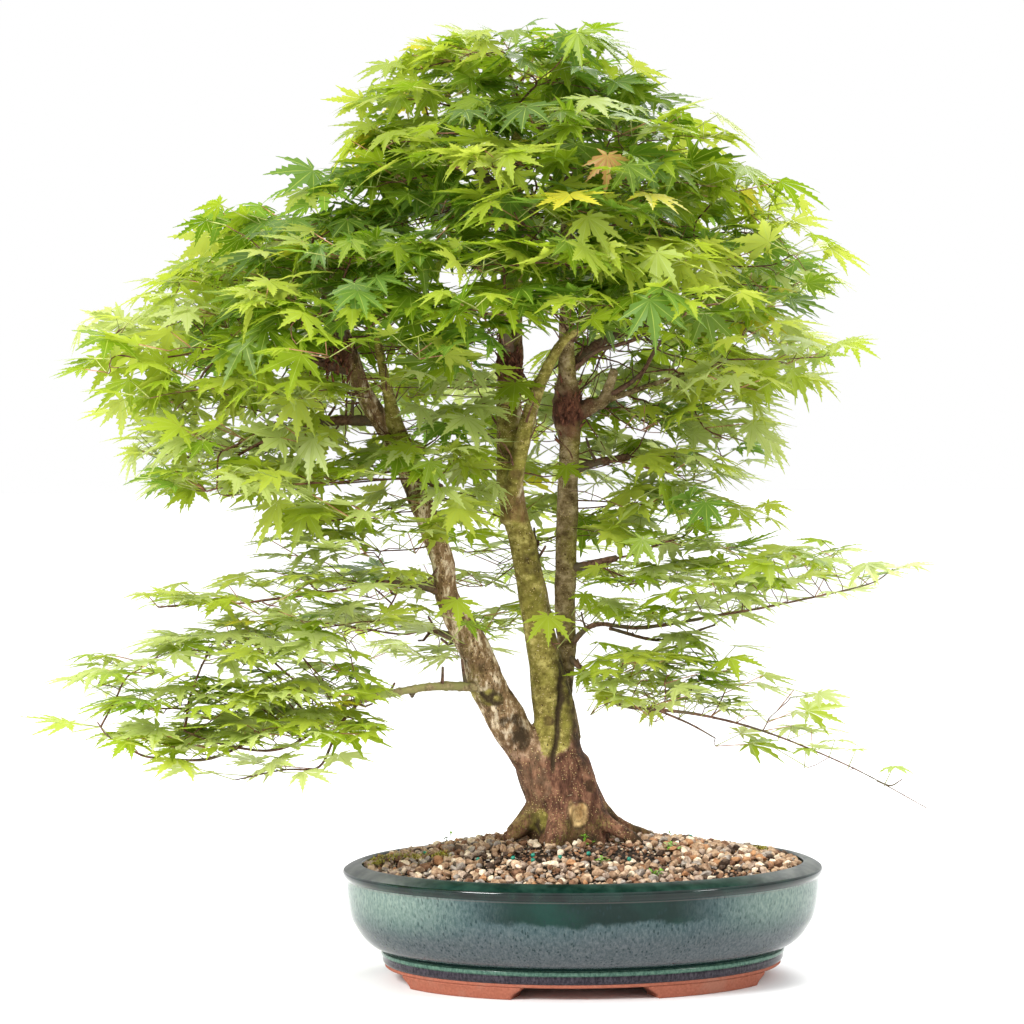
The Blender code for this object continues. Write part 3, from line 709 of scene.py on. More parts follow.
def glaze():
    """Speckled teal wall, a rose line under the lip, painted shade in the recess at the wall's foot, a green
    bead, a dusky foot.
    """
    f = Finish("teal_glaze", 0.16, 0.10)
    f.coat(0.22, 0.05)
    z = f.split()[2]
    runs = f.noise(420.0, 4.0, 0.75, f.stretched(RUN_STRETCH))
    rose = f.share(f.maths("ABSOLUTE", f.minus(z, WALL_LINE)), 0.0009, 0.0003)
    lined = f.blend(f.times(rose, 0.30), wall_glaze(f, z, runs), (0.145, 0.115, 0.110))
    # Painted shade: the recess between the wall and the bead is coloured dark.
    painted_groove_shade = f.blend(f.share(z, BEAD_TOP + 0.0040, BEAD_TOP + 0.0022), lined, (0.010, 0.030, 0.026))
    beading = f.ramp(runs, (0.38, (0.030, 0.085, 0.062)), (0.60, (0.110, 0.205, 0.150)))
    bead = f.blend(f.share(z, BEAD_TOP + 0.0008, BEAD_TOP), painted_groove_shade, beading)
    dusky = f.ramp(runs, (0.40, (0.008, 0.006, 0.011)), (0.64, (0.055, 0.046, 0.058)))
    f.put("Base Color", f.blend(f.share(z, BEAD_FOOT + 0.0004, BEAD_FOOT - 0.0006), bead, dusky))
    f.bump(f.noise(220.0, 2.0), 0.05, 0.0006)
    return f.material


def rim_glaze():
    """The nearly black, wet-looking glaze round the lip's outer edge."""
    f = Finish("rim_glaze", 0.12, 0.10)
    f.coat(0.5, 0.04)
    green = f.ramp(f.noise(40.0, 3.0), (0.36, (0.002, 0.006, 0.005)), (0.64, (0.006, 0.022, 0.017)))
    f.put("Base Color", green)
    f.bump(f.noise(120.0, 2.0), 0.04, 0.0006)
    return f.material


def lip_glaze():
    """The satin glaze on top of the lip: dark green in the middle, painted pale grey at the ends as reflected
    sheen.
    """
    f = Finish("lip_glaze", 0.34, 0.05)
    lip_mottle = f.noise(60.0, 4.0, 0.6)
    painted_end_sheen = f.ramp(lip_mottle, (0.36, (0.060, 0.068, 0.066)), (0.64, (0.125, 0.132, 0.125)))
    dark = f.ramp(lip_mottle, (0.36, (0.002, 0.014, 0.010)), (0.64, (0.016, 0.045, 0.034)))
    # Painted reflection: pale grey towards the ends of the lip.
    f.put("Base Color", f.blend(f.share(off_pool_and_reflection(f), 0.130, 0.205), dark, painted_end_sheen))
    f.bump(f.noise(300.0, 3.0), 0.06, 0.0005)
    return f.material


def terracotta():
    """Bare orange clay with paler stains."""
    f = Finish("terracotta", 0.85, 0.25)
    grain = f.noise(420.0, 4.0, 0.65)
    stain = f.share(f.noise(28.0, 3.0), 0.50, 0.66)
    clay = f.ramp(grain, (0.30, (0.230, 0.068, 0.038)), (0.70, (0.370, 0.122, 0.074)))
    f.put("Base Color", f.blend(f.times(stain, 0.5), clay, (0.320, 0.150, 0.102)))
    f.bump(grain, 0.25, 0.0005)
    return f.material


def stone(name, dark, light):
    """A stone's own colour range, pitted."""
    f = Finish(name, 0.75, 0.3)
    mottle = f.noise(240.0, 5.0, 0.7)
    pits = f.share(f.cells(900.0), 0.30, 0.10)
    f.put("Base Color", f.blend(f.times(pits, 0.7), f.ramp(mottle, (0.36, dark), (0.62, light)), dark))
    f.bump(mottle, 0.5, 0.0010)
    return f.material


def grainy(name, roughness, specular, grain, stops, strength, depth):
    """A skin whose colour and relief follow one noise: grain is its scale, detail and roughness."""
    f = Finish(name, roughness, specular)
    height = f.noise(*grain)
    f.put("Base Color", f.ramp(height, *stops))
    f.bump(height, strength, depth)
    return f.material


def soil_skin():
    """Damp, nearly black crumbs."""
    stops = [(0.38, (0.003, 0.0015, 0.001)), (0.68, (0.030, 0.016, 0.009))]
    return grainy("damp_soil", 0.95, 0.2, (300.0, 5.0, 0.7), stops, 0.9, 0.0020)


def pellet_skin():
    """Blue-green coated feed."""
    stops = [(0.35, (0.004, 0.110, 0.075)), (0.65, (0.012, 0.270, 0.180))]
    return grainy("feed_pellet", 0.35, 0.5, (600.0,), stops, 0.3, 0.0003)


def bark_ground(f, fibres, bands, blotch, crumbs):
    """Red at the foot, tan on the left trunk, brown where it flakes, moss over them."""
    red = f.ramp(
        fibres, (0.36, (0.038, 0.016, 0.010)), (0.50, (0.120, 0.052, 0.031)), (0.64, (0.285, 0.140, 0.082)))
    tan = f.ramp(
        fibres, (0.38, (0.066, 0.036, 0.015)), (0.50, (0.262, 0.153, 0.074)), (0.60, (0.820, 0.680, 0.480)))
    brown = f.ramp(
        bands, (0.36, (0.085, 0.056, 0.022)), (0.50, (0.240, 0.172, 0.082)), (0.66, (0.500, 0.390, 0.225)))
    moss = f.ramp(
        bands, (0.34, (0.100, 0.072, 0.015)), (0.50, (0.225, 0.186, 0.042)), (0.68, (0.560, 0.480, 0.160)))
    lush = f.ramp(bands, (0.34, (0.100, 0.084, 0.013)), (0.66, (0.330, 0.292, 0.058)))
    flaky = f.blend(f.attribute("flaky"), f.blend(f.attribute("upper"), red, tan), brown)
    low = f.times(f.share(f.split()[2], 0.360, 0.280), 0.03)
    tinged = f.blend(f.share(f.plus(blotch, low), 0.46, 0.62), moss, lush)
    return f.blend(f.share(f.plus(f.attribute("moss"), crumbs), 0.12, 0.72), flaky, tinged)


def bark_dots(f, ground, specks, blotch):
    """Pale lenticels and short dashes, and darker flecks, over the ground."""
    lenticels = f.times(specks, f.share(f.noise(60.0), 0.42, 0.54))
    dotted = f.blend(lenticels, ground, (0.620, 0.470, 0.200))
    dashes = f.share(f.cells(150.0, places=f.stretched((0.7, 0.7, 3.0))), 0.17, 0.08)
    dashed = f.blend(f.times(dashes, f.share(f.noise(45.0), 0.46, 0.56)), dotted, (0.560, 0.460, 0.280))
    flecks = f.share(f.cells(260.0, places=f.stretched((1.0, 1.0, 0.6))), 0.24, 0.12)
    return f.blend(f.times(flecks, f.share(blotch, 0.58, 0.44)), dashed, (0.055, 0.034, 0.014))


def bark():
    """The trunks' bark, led by the layers that make_trunks paints on the mesh."""
    f = Finish("trunk_bark", 0.85, 0.18)
    fibres = f.noise(120.0, 6.0, 0.72, f.stretched((1.0, 1.0, 0.40)))
    bands = f.noise(120.0, 6.0, 0.70, f.stretched((0.75, 0.75, 1.0)))
    blotch = f.noise(34.0, 5.0, 0.65)
    crumbs = f.minus(f.noise(520.0, 3.0, 0.6, f.stretched((1.0, 1.0, 0.7))), 0.5)
    specks = f.share(f.cells(400.0), 0.25, 0.13)
    flecked = bark_dots(f, bark_ground(f, fibres, bands, blotch, crumbs), specks, blotch)
    shaggy = f.ramp(fibres, (0.36, (0.030, 0.010, 0.006)), (0.64, (0.210, 0.085, 0.050)))
    burled = f.blend(f.attribute("burl"), flecked, shaggy)
    cut_wood = f.ramp(fibres, (0.36, (0.330, 0.190, 0.070)), (0.60, (0.680, 0.480, 0.220)))
    scarred = f.blend(f.attribute("pale"), burled, cut_wood)
    # The dark layer darkens the bark: painted shade in fissures, in the crack and on the right sides, with
    # the bark's own dark marks.
    dark = f.share(f.plus(f.attribute("dark"), f.times(crumbs, 0.7)), 0.05, 1.10)
    f.put("Base Color", f.blend(dark, scarred, (0.036, 0.023, 0.011)))
    f.bump(f.plus(fibres, f.times(specks, 0.25)), 0.8, 0.0018)
    return f.material


def bough_bark(name, dark, light, patch):
    """Brown bark with green-grey patches and pale nicks."""
    f = Finish(name, 0.8, 0.2)
    fibres = f.noise(260.0, 5.0, 0.7)
    patches = f.share(f.noise(45.0, 3.0), 0.45, 0.60)
    brown = f.ramp(fibres, (0.36, dark), (0.64, light))
    nicks = f.share(f.cells(420.0), 0.20, 0.10)
    f.put("Base Color", f.blend(f.times(nicks, 0.6), f.blend(patches, brown, patch), light))
    f.bump(fibres, 0.6, 0.0010)
    return f.material


def plain_skin(name, dark, light, roughness=0.5, scale=150.0):
    """A soft-grained skin: stalks, twigs, buds, sprouts and moss."""
    return grainy(name, roughness, 0.3, (scale, 3.0), [(0.36, dark), (0.64, light)], 0.25, 0.0003)


def leaf_skin(name, face, glow):
    """A thin leaf: face is its own colour, glow the colour of light that comes through."""
    f = Finish(name, LEAF_ROUGHNESS, 0.50)
    f.put("Base Color", face)
    normal = f.bump(f.cells(420.0, "DISTANCE_TO_EDGE"), 0.25, 0.0005)
    f.put("Roughness", f.plus(f.times(f.noise(90.0), 0.25), LEAF_ROUGHNESS - 0.12))
    through = f.node("ShaderNodeBsdfTranslucent", {"Color": glow, "Normal": normal})
    both = f.mixed(LEAF_GLOW_SHARE, f.shader.outputs["BSDF"], through.outputs["BSDF"])
    f.feed(f.tree.nodes["Material Output"].inputs["Surface"], both)
    return f.material


# ---------------------------------------------------------------------- pot

def half_depth(half_width):
    """The oval's half depth where its half width is this."""
    return half_width - OVAL * np.minimum(1.0, np.asarray(half_width) / OVAL_FULL_FROM)


def curved(points, count):
    """A smooth run of a profile through these (half width, height) points, in about count steps."""
    length = sum(math.dist(a, b) for a, b in zip(points, points[1:]))
    rows = smooth_route([(w, 0.0, z, 1.0) for w, z in points], length / count)
    return [(row[0], row[2]) for row in rows]


def bowl_profile():
    """From the middle of the inner floor up the inside, over the lip and down outside."""
    inside = [(LIP_INNER - 0.0235, 0.0265), (LIP_INNER - 0.0095, 0.0550), (LIP_INNER - 0.0020, 0.0950)]
    lip = [
        (LIP_INNER, RIM_HEIGHT - 0.0040),
        (LIP_INNER + 0.0012, RIM_HEIGHT - 0.0008),
        (LIP_INNER + 0.0045, RIM_HEIGHT),
        (LIP_INNER + 0.0125, RIM_HEIGHT - 0.0025),
        (HALF_LENGTH - 0.0012, RIM_HEIGHT - 0.0062),
        (HALF_LENGTH, RIM_HEIGHT - 0.0090),
        (HALF_LENGTH - 0.0008, RIM_HEIGHT - 0.0118),
        (WALL_TOP + 0.0006, RIM_HEIGHT - 0.0148),
    ]
    wall = [
        (WALL_TOP, RIM_HEIGHT - 0.0170),
        (HALF_LENGTH - 0.0045, 0.0840),
        (HALF_LENGTH - 0.0080, 0.0635),
        (HALF_LENGTH - 0.0139, 0.0515),
        (HALF_LENGTH - 0.0208, 0.0420),
        (HALF_LENGTH - 0.0305, 0.0341),
        (WALL_FOOT + 0.0014, 0.0314),
    ]
    band = [
        (WALL_FOOT + 0.0002, 0.0302),
        (WALL_FOOT + 0.0012, BEAD_TOP),
        (BAND_WIDTH - 0.0003, 0.0280),
        (BAND_WIDTH, 0.0264),
        (BAND_WIDTH - 0.0003, 0.0250),
        (WALL_FOOT + 0.0022, BEAD_FOOT),
        (WALL_FOOT + 0.0026, 0.0225),
        (WALL_FOOT + 0.0024, 0.0190),
        (WALL_FOOT + 0.0010, 0.0166),
    ]
    below = [(WALL_FOOT, CLAY_TOP), (WALL_FOOT, BASE_HEIGHT + 0.0008), (WALL_FOOT - 0.0010, BASE_HEIGHT)]
    return [
        (0.0, 0.0265), (0.5 * LIP_INNER, 0.0265), *curved(inside, 8), *curved(lip, 28),
        *curved(wall, 26), *curved(band, 20), *below, (0.5 * LIP_INNER, BASE_HEIGHT), (0.0, BASE_HEIGHT),
    ]


def turned_oval(profile, segments, wobble=0.0):
    """Places and faces of a profile turned round Z and drawn in to the pot's oval."""
    turns = np.arange(segments) * 2 * math.pi / segments
    rows = []
    for width, height in profile[1:-1]:
        along = np.array([
            1.0 + wobble * noise.noise(Vector((math.cos(t) * 2, math.sin(t) * 2, height * 30)))
            for t in turns
        ])
        x = width * along * np.cos(turns)
        y = half_depth(width) * along * np.sin(turns)
        rows.append(np.stack([x, y, np.full(segments, height)], -1))
    places = np.vstack(rows + [np.array([[0, 0, profile[0][1]], [0, 0, profile[-1][1]]])])
    return places, ring_quads(len(rows), segments).tolist() + ring_caps(len(rows), segments).tolist()


def outward(mesh):
    """Turns a closed mesh's faces so that they point out."""
    bm = bmesh.new()
    bm.from_mesh(mesh)
    bmesh.ops.recalc_face_normals(bm, faces=bm.faces)
    if bm.calc_volume(signed=True) < 0.0:
        bmesh.ops.reverse_faces(bm, faces=bm.faces)
    bm.to_mesh(mesh)
    bm.free()


def drain_drill(side):
    """A rod through the floor of the pot, to its left or right, that cuts a drain hole."""
    bm = bmesh.new()
    bmesh.ops.create_cone(
        bm, cap_ends=True, segments=32, radius1=DRAIN_RADIUS, radius2=DRAIN_RADIUS, depth=0.05)
    bmesh.ops.translate(bm, vec=(POT.x + side * DRAIN_OFFSET, POT.y, BASE_HEIGHT), verts=bm.verts)
    return linked("drill", mesh_of("drill", bm))


def bowl_slot(face):
    """Which of the bowl's materials a face has: wall, lip's top, lip's edge or bare clay."""
    height = face.center.z
    out = face.center - POT
    floor = math.hypot(out.x / HALF_LENGTH, out.y / HALF_DEPTH) < 0.7
    if height < CLAY_TOP or (floor and height < WALL_LINE):
        return 3
    if height > RIM_HEIGHT - 0.0060 and face.normal.z > 0.55:
        return 1
    return 2 if height > WALL_LINE + 0.0012 else 0


def make_bowl(clay):
    """The glazed bowl, turned from its profile, with two drain holes."""
    mesh = new_mesh("pot_glazed_bowl", *turned_oval(bowl_profile(), POT_SEGMENTS, BOWL_WOBBLE))
    outward(mesh)
    obj = linked("bowl_blank", mesh)
    drills = [drain_drill(side) for side in (-1, 1)]
    for drill in drills:
        cut = obj.modifiers.new("drain", "BOOLEAN")
        cut.operation = "DIFFERENCE"
        cut.object = drill
    bpy.context.view_layer.update()
    mesh = evaluated_mesh(obj)
    for drill in drills:
        bpy.data.objects.remove(drill, do_unlink=True)
    smooth_shaded(mesh, 42)
    mesh.materials.clear()
    for face in mesh.polygons:
        face.material_index = bowl_slot(face)
    skins = [glaze(), lip_glaze(), rim_glaze(), clay]
    new_piece("pot_glazed_bowl", mesh, skins, ["pot_bowl"])


def oval_point(half_width, angle):
    return half_width * math.cos(angle), float(half_depth(half_width)) * math.sin(angle)


def subdivided(bm, axis, cuts):
    """Cuts across the edges that run along this axis."""
    edges = [edge for edge in bm.edges if abs(edge.verts[0].co[axis] - edge.verts[1].co[axis]) > 0.5]
    bmesh.ops.subdivide_edges(bm, edges=edges, cuts=cuts, use_grid_fill=True)


def make_foot(name, node, side_x, side_y, material):
    """A bar of clay bent along the oval, drawn in towards the floor, its edges rounded."""
    bm = bmesh.new()
    bmesh.ops.create_cube(bm, size=1.0)
    subdivided(bm, 0, FOOT_STEPS - 1)
    subdivided(bm, 2, FOOT_ROWS - 1)
    for vertex in bm.verts:
        share = vertex.co.x + 0.5
        drop = 0.5 - vertex.co.z
        scroll = 0.5 - 0.5 * math.cos(math.pi * min(1.0, drop * 1.15))
        slope = FOOT_SLOPE_DEG * scroll
        start = FOOT_FROM_DEG + slope
        along_deg = start + share * (FOOT_TO_DEG - slope - start)
        angle = math.radians(along_deg + side_x * side_y * FEET_TURN_DEG)
        width = WALL_FOOT - FOOT_DRAW_IN * drop
        if vertex.co.y > 0.0:
            width -= FOOT_DEPTH
        x, y = oval_point(width, angle)
        vertex.co = (side_x * x, side_y * y, BASE_HEIGHT * (1 - drop))
        vertex.co += POT
    mesh = mesh_of(name, bm)
    outward(mesh)
    obj = linked(name + "_blank", mesh)
    bevel = obj.modifiers.new("edges", "BEVEL")
    bevel.width = 0.0010
    bevel.segments = 3
    bevel.angle_limit = math.radians(35)
    mesh = evaluated_mesh(obj)
    smooth_shaded(mesh, 50)
    new_piece(name, mesh, [material], [node])


def make_pot():
    clay = terracotta()
    make_bowl(clay)
    for side_y, depth_label in ((-1, "front"), (1, "back")):
        for side_x, side_label in ((-1, "left"), (1, "right")):
            label = f"{depth_label}_{side_label}"
            make_foot("clay_foot_" + label, "pot_foot_" + label, side_x, side_y, clay)


# ------------------------------------------------------------ soil and gravel

def soil_height(x, y):
    """The heaped filling's height: flat under the trunk, falling to the wall."""
    x = np.asarray(x)
    y = np.asarray(y)
    turn = np.arctan2(y / HALF_DEPTH, x / HALF_LENGTH)
    edge = np.hypot(LIP_INNER * np.cos(turn), half_depth(LIP_INNER) * np.sin(turn))
    share = np.hypot(x, y) / edge
    heap = 1.0 - share
    off_trunk = np.hypot(x - TRUNK_X * heap, y - TRUNK_Y * heap) / edge
    slope = np.clip((off_trunk - SOIL_FLAT / LIP_INNER) / (1 - SOIL_FLAT / LIP_INNER), 0, 1)
    return SOIL_TOP + (SOIL_EDGE - SOIL_TOP) * slope ** 1.15


def make_soil_bed():
    """The dark damp soil that shows between the stones."""
    widths = [LIP_INNER * ring / SOIL_RINGS * 0.985 for ring in range(SOIL_RINGS + 1)]
    profile = [(width, 0.0) for width in widths]
    profile += [(LIP_INNER * 0.94, -1.0), (0.0, -1.0)]
    places, faces = turned_oval(profile, 128)
    top = places[:, 2] > -0.5
    rough = np.array([noise.noise(Vector(p) * 90) for p in places])
    heaped = soil_height(places[:, 0], places[:, 1]) - SOIL_BED_DROP + 0.0016 * rough
    places[:, 2] = np.where(top, heaped, SOIL_BED_FLOOR)
    mesh = new_mesh("soil_bed", places, faces)
    outward(mesh)
    mesh.shade_smooth()
    new_piece("soil_bed", mesh, [soil_skin()], ["soil"])


def pebble_shapes(rng, subdivisions):
    """Unit pebbles and their triangles: balls cut back by a few random planes."""
    round_places, faces = ball(subdivisions)
    shapes = []
    for _ in range(PEBBLE_KINDS):
        places = dented(rng, round_places)
        for _ in range(PEBBLE_CUTS):
            normal = unit(rng.standard_normal(3))
            past = np.maximum(places @ normal - rng.uniform(*PEBBLE_PLANES), 0.0)
            places = places - past[:, None] * normal
        shapes.append(places * (1.15, rng.uniform(0.75, 1.05), rng.uniform(0.60, 0.90)))
    return shapes, faces


def dented(rng, places):
    """The places, each moved in or out by about a twentieth."""
    return places * (1 + 0.05 * rng.standard_normal((len(places), 1)))


def random_turn(rng, tilt):
    """A turn about Z at any angle, then a lean of up to tilt."""
    spin = Matrix.Rotation(rng.uniform(0, 2 * math.pi), 3, "Z")
    lean_x, lean_y = (Matrix.Rotation(rng.uniform(-tilt, tilt), 3, axis) for axis in "XY")
    return np.array(lean_x @ lean_y @ spin)


def packed_spots(rng, spacing):
    """Places on the filling, packed about spacing apart, none in the trunk."""
    half_depth_inside = HALF_DEPTH - LIP_WIDTH
    found = []
    for row, y in enumerate(np.arange(-half_depth_inside, half_depth_inside, spacing * ROW_PITCH)):
        for x in np.arange(-LIP_INNER, LIP_INNER, spacing) + 0.5 * spacing * (row % 2):
            spot = np.array((x, y)) + rng.normal(0, SPOT_SCATTER * spacing, 2)
            inside = math.hypot(spot[0] / LIP_INNER, spot[1] / half_depth_inside) < 0.985
            if inside and math.hypot(spot[0] - TRUNK_X, spot[1] - TRUNK_Y) > TRUNK_CLEAR:
                found.append(spot)
    return np.array(found)


def dark_soil(x, y):
    """0 where clean gravel lies, up to 1 where dark crumbs show, most in front of the trunk."""
    heap = 0.75 * math.exp(-((x + 0.015) / 0.075) ** 2 - ((y + 0.045) / 0.050) ** 2)
    return clamped(3.0 * (noise.noise(Vector((x * 16, y * 22, 3.1))) + heap - 0.20))


def on_soil(x, y, rise=0.0):
    """The place this far above the filling."""
    return np.array([x, y, float(soil_height(x, y)) + rise])


STONES = [  # name, dark, light, share in clean gravel and where dark crumbs show
    ("stone_tan", (0.185, 0.095, 0.048), (0.500, 0.335, 0.210), 0.20, 0.06),
    ("stone_sand", (0.270, 0.165, 0.095), (0.680, 0.490, 0.330), 0.18, 0.04),
    ("stone_grey", (0.135, 0.103, 0.083), (0.460, 0.395, 0.335), 0.13, 0.05),
    ("stone_warm_grey", (0.190, 0.120, 0.082), (0.550, 0.420, 0.320), 0.15, 0.04),
    ("stone_orange", (0.230, 0.090, 0.035), (0.500, 0.265, 0.125), 0.07, 0.06),
    ("stone_brown", (0.095, 0.042, 0.020), (0.300, 0.155, 0.085), 0.10, 0.35),
    ("stone_dark", (0.024, 0.013, 0.008), (0.120, 0.072, 0.045), 0.05, 0.38),
    ("stone_cream", (0.600, 0.460, 0.310), (0.950, 0.800, 0.620), 0.12, 0.02),
]


def make_stones(name, skins, seed, spacing, radii, subdivisions, rise, left_out):
    """One size of stones, packed over the filling, some left out where dark crumbs show."""
    clean = np.array([row[3] for row in STONES])
    dirty = np.array([row[4] for row in STONES])
    rng = np.random.default_rng(seed)
    shapes, faces = pebble_shapes(rng, subdivisions)
    heap = Heap()
    for x, y in packed_spots(rng, spacing):
        dark = dark_soil(x, y)
        if left_out and rng.random() < left_out + 0.70 * dark:
            continue
        size = rng.uniform(*radii) * (1 - 0.25 * dark)
        place = on_soil(x, y, rise + rng.uniform(-0.0012, 0.0012))
        odds = clean * (1 - dark) + dirty * dark
        kind = rng.choice(len(STONES), p=odds / odds.sum())
        shape = shapes[rng.integers(len(shapes))] @ random_turn(rng, 0.6).T
        heap.add(size * shape + place, faces, kind)
    new_piece(name, heap.mesh(name, 34), skins)


def make_gravel():
    """Packed crumbs with larger stones on top, in the same eight colours."""
    skins = [stone(*row[:3]) for row in STONES]
    make_stones(
        "gravel", skins, seed=11, spacing=STONE_SPACING, radii=STONE_RADIUS, subdivisions=2, rise=0.0005,
        left_out=0.15)
    make_stones(
        "grit", skins, seed=12, spacing=GRIT_SPACING, radii=GRIT_RADIUS, subdivisions=1, rise=-0.0040,
        left_out=0.0)


PELLETS = [  # coated feed on the gravel: x, y
    (-0.159, -0.009), (-0.113, -0.075), (-0.080, -0.084), (-0.060, -0.079), (-0.062, -0.095),
    (-0.035, -0.090), (-0.006, -0.081), (0.031, -0.099), (0.102, 0.120), (0.120, 0.064),
    (-0.090, 0.110), (0.020, 0.140),
]
SPROUTS = [  # x, y, height of the leafy sprouts between the stones
    (-0.002, -0.019, 0.013), (0.004, -0.097, 0.008), (0.083, -0.044, 0.010), (0.053, -0.136, 0.008),
    (-0.128, 0.081, 0.012), (-0.060, 0.130, 0.010), (0.110, 0.100, 0.009),
]
MOSS_TUFTS = [  # x, y, spread of the yellowish moss
    (-0.200, 0.020, 0.012), (-0.184, 0.006, 0.014), (-0.168, -0.018, 0.012), (-0.146, -0.031, 0.009),
    (-0.206, -0.012, 0.008), (0.060, 0.142, 0.012), (-0.030, 0.088, 0.012), (0.186, 0.030, 0.008),
]


def blade(root, way, length, width):
    """A small pointed leaf of four triangles from root along way, folded up a little."""
    across = unit(np.cross(way, (0, 0, 1))) * width
    lift = np.array([0, 0, 0.25 * width])
    middle = root + way * 0.45 * length
    tip = root + way * length - (0, 0, 0.12 * length)
    places = np.array([root, middle + across + lift, middle, middle - across + lift, tip])
    return places, np.array([(0, 1, 2), (0, 2, 3), (1, 4, 2), (2, 4, 3)])


def make_pellets(rng):
    """Slightly dented balls of coated feed."""
    round_places, faces = ball(2, PELLET_RADIUS)
    pellets = Heap()
    for x, y in PELLETS:
        pellets.add(dented(rng, round_places) + on_soil(x, y, 0.0036), faces)
    new_piece("feed_pellets", pellets, [pellet_skin()])


def upward(rng, least, most):
    """A random way up, steeper the larger the number drawn between least and most."""
    return unit(rng.normal(0, 1, 3) * (1, 1, 0) + (0, 0, rng.uniform(least, most)))


def add_sprout(rng, heap, foot, height):
    """Five leaning stems with four small leaves each."""
    for _ in range(5):
        top = foot + upward(rng, 0.5, 1.3) * height * rng.uniform(0.6, 1.0)
        heap.add_tube(3, (foot, 0.00045), (top, 0.00030))
        for _ in range(4):
            way = unit(rng.normal(0, 1, 3) * (1, 1, 0.25) + (0, 0, 0.15))
            heap.add(*blade(top, way, rng.uniform(0.0045, 0.0085), 0.0016))


def make_ground_cover():
    """Feed pellets, a few sprouts and tufts of moss on the gravel."""
    rng = np.random.default_rng(13)
    make_pellets(rng)
    plants = Heap()
    for x, y, height in SPROUTS:
        add_sprout(rng, plants, on_soil(x, y, -0.001), height)
    for x, y, spread in MOSS_TUFTS:
        for _ in range(BLADES_PER_TUFT):
            spot = (x, y) + rng.normal(0, spread * 0.5, 2)
            foot = on_soil(*spot, rng.uniform(-0.0006, 0.0014)) + (0, 0, 0.0022)
            plants.add(*blade(foot, upward(rng, 0.6, 2.0), rng.uniform(0.0030, 0.0052), 0.0008), 1)
    skins = [
        plain_skin("sprout_green", (0.080, 0.220, 0.010), (0.220, 0.420, 0.030)),
        plain_skin("moss_yellow_green", (0.200, 0.170, 0.020), (0.420, 0.380, 0.060)),
    ]
    new_piece("sprouts_and_moss", plants, skins)


# --------------------------------------------------------------------- bark

# Marks on the trunks, as (x, z) seen from the front: radius, height, kind
MARKS = {
    "pruning_scar": (-0.0060, 0.1604, 0.0105, 0.0018, "pale"),
    "foot_knot": (0.0067, 0.1867, 0.0070, 0.0020, "dark"),
    "fork_scar": (-0.0331, 0.2526, 0.0060, 0.0024, "ring"),
    "foot_moss": (-0.0413, 0.1513, 0.0120, 0.0005, "green"),
    "left_patch_high": (-0.0715, 0.2523, 0.0110, 0.0006, "grey"),
    "left_patch_low": (-0.0595, 0.2362, 0.0120, 0.0006, "grey"),
    "left_moss": (-0.0935, 0.2765, 0.0100, 0.0004, "green"),
    "green_limb_knot": (-0.0667, 0.4993, 0.0055, 0.0016, "ring"),
    "left_cut": (-0.1534, 0.4858, 0.0070, 0.0016, "red"),
    "centre_patch": (-0.0458, 0.4135, 0.0140, 0.0004, "grey"),
    "centre_band": (-0.0755, 0.5182, 0.0110, 0.0004, "grey"),
    "pink_band": (-0.0616, 0.4634, 0.0170, 0.0004, "red"),
}
BURLS = {  # place, radius, height
    "burl_left": ((-0.2435, -0.030, 0.6121), 0.020, 0.0050),
    "burl_left_fork": ((-0.1000, 0.012, 0.300), 0.018, 0.0022),
    "burl_centre": ((-0.0701, 0.010, 0.6077), 0.022, 0.0038),
    "burl_right": ((-0.0060, 0.048, 0.5620), 0.026, 0.0045),
    "burl_left_low": ((-0.0480, 0.010, 0.222), 0.020, 0.0030),
}
SHAGGY = ("burl_left", "burl_centre", "burl_right")
SEAM = ((-0.0281, 0.2130), (-0.0205, 0.2870))  # x and z of each end of the crack between two trunks
SEAM_BACK = TRUNK_Y + 0.014  # it shows in front of this
BARK_LAYERS = ("moss", "upper", "pale", "dark", "flaky", "burl")


def limb_routes():
    """Each limb's name and its smooth route."""
    everything = {**THICK_LIMBS, **BOUGHS, **BRANCHES}
    return {name: smooth_route(points, ROUTE_STEP) for name, points in everything.items()}


def melted_trunks():
    """The trunks, thick limbs and roots melted into one skin."""
    heap = Heap()
    for points in [*THICK_LIMBS.values(), *ROOTS.values()]:
        heap.add(*tube(smooth_route(points, SKIN_STEP), 28))
    obj = linked("trunks_blank", heap.mesh("trunks"))
    remesh = obj.modifiers.new("melt", "REMESH")
    remesh.mode = "VOXEL"
    remesh.voxel_size = BARK_VOXEL
    remesh.use_smooth_shade = True
    smooth = obj.modifiers.new("soften", "SMOOTH")
    smooth.factor = 0.5
    smooth.iterations = 7
    return evaluated_mesh(obj)


def noise_at(p, across, upward, aside=0.0):
    """Noise whose grain runs across and up at these scales."""
    return noise.noise(Vector((p.x * across + aside, p.y * across, p.z * upward)))


def ridged(p, across, upward):
    return 1.0 - 2.0 * abs(noise_at(p, across, upward))


def bell(distance, width):
    return math.exp(-(distance / width) ** 2)


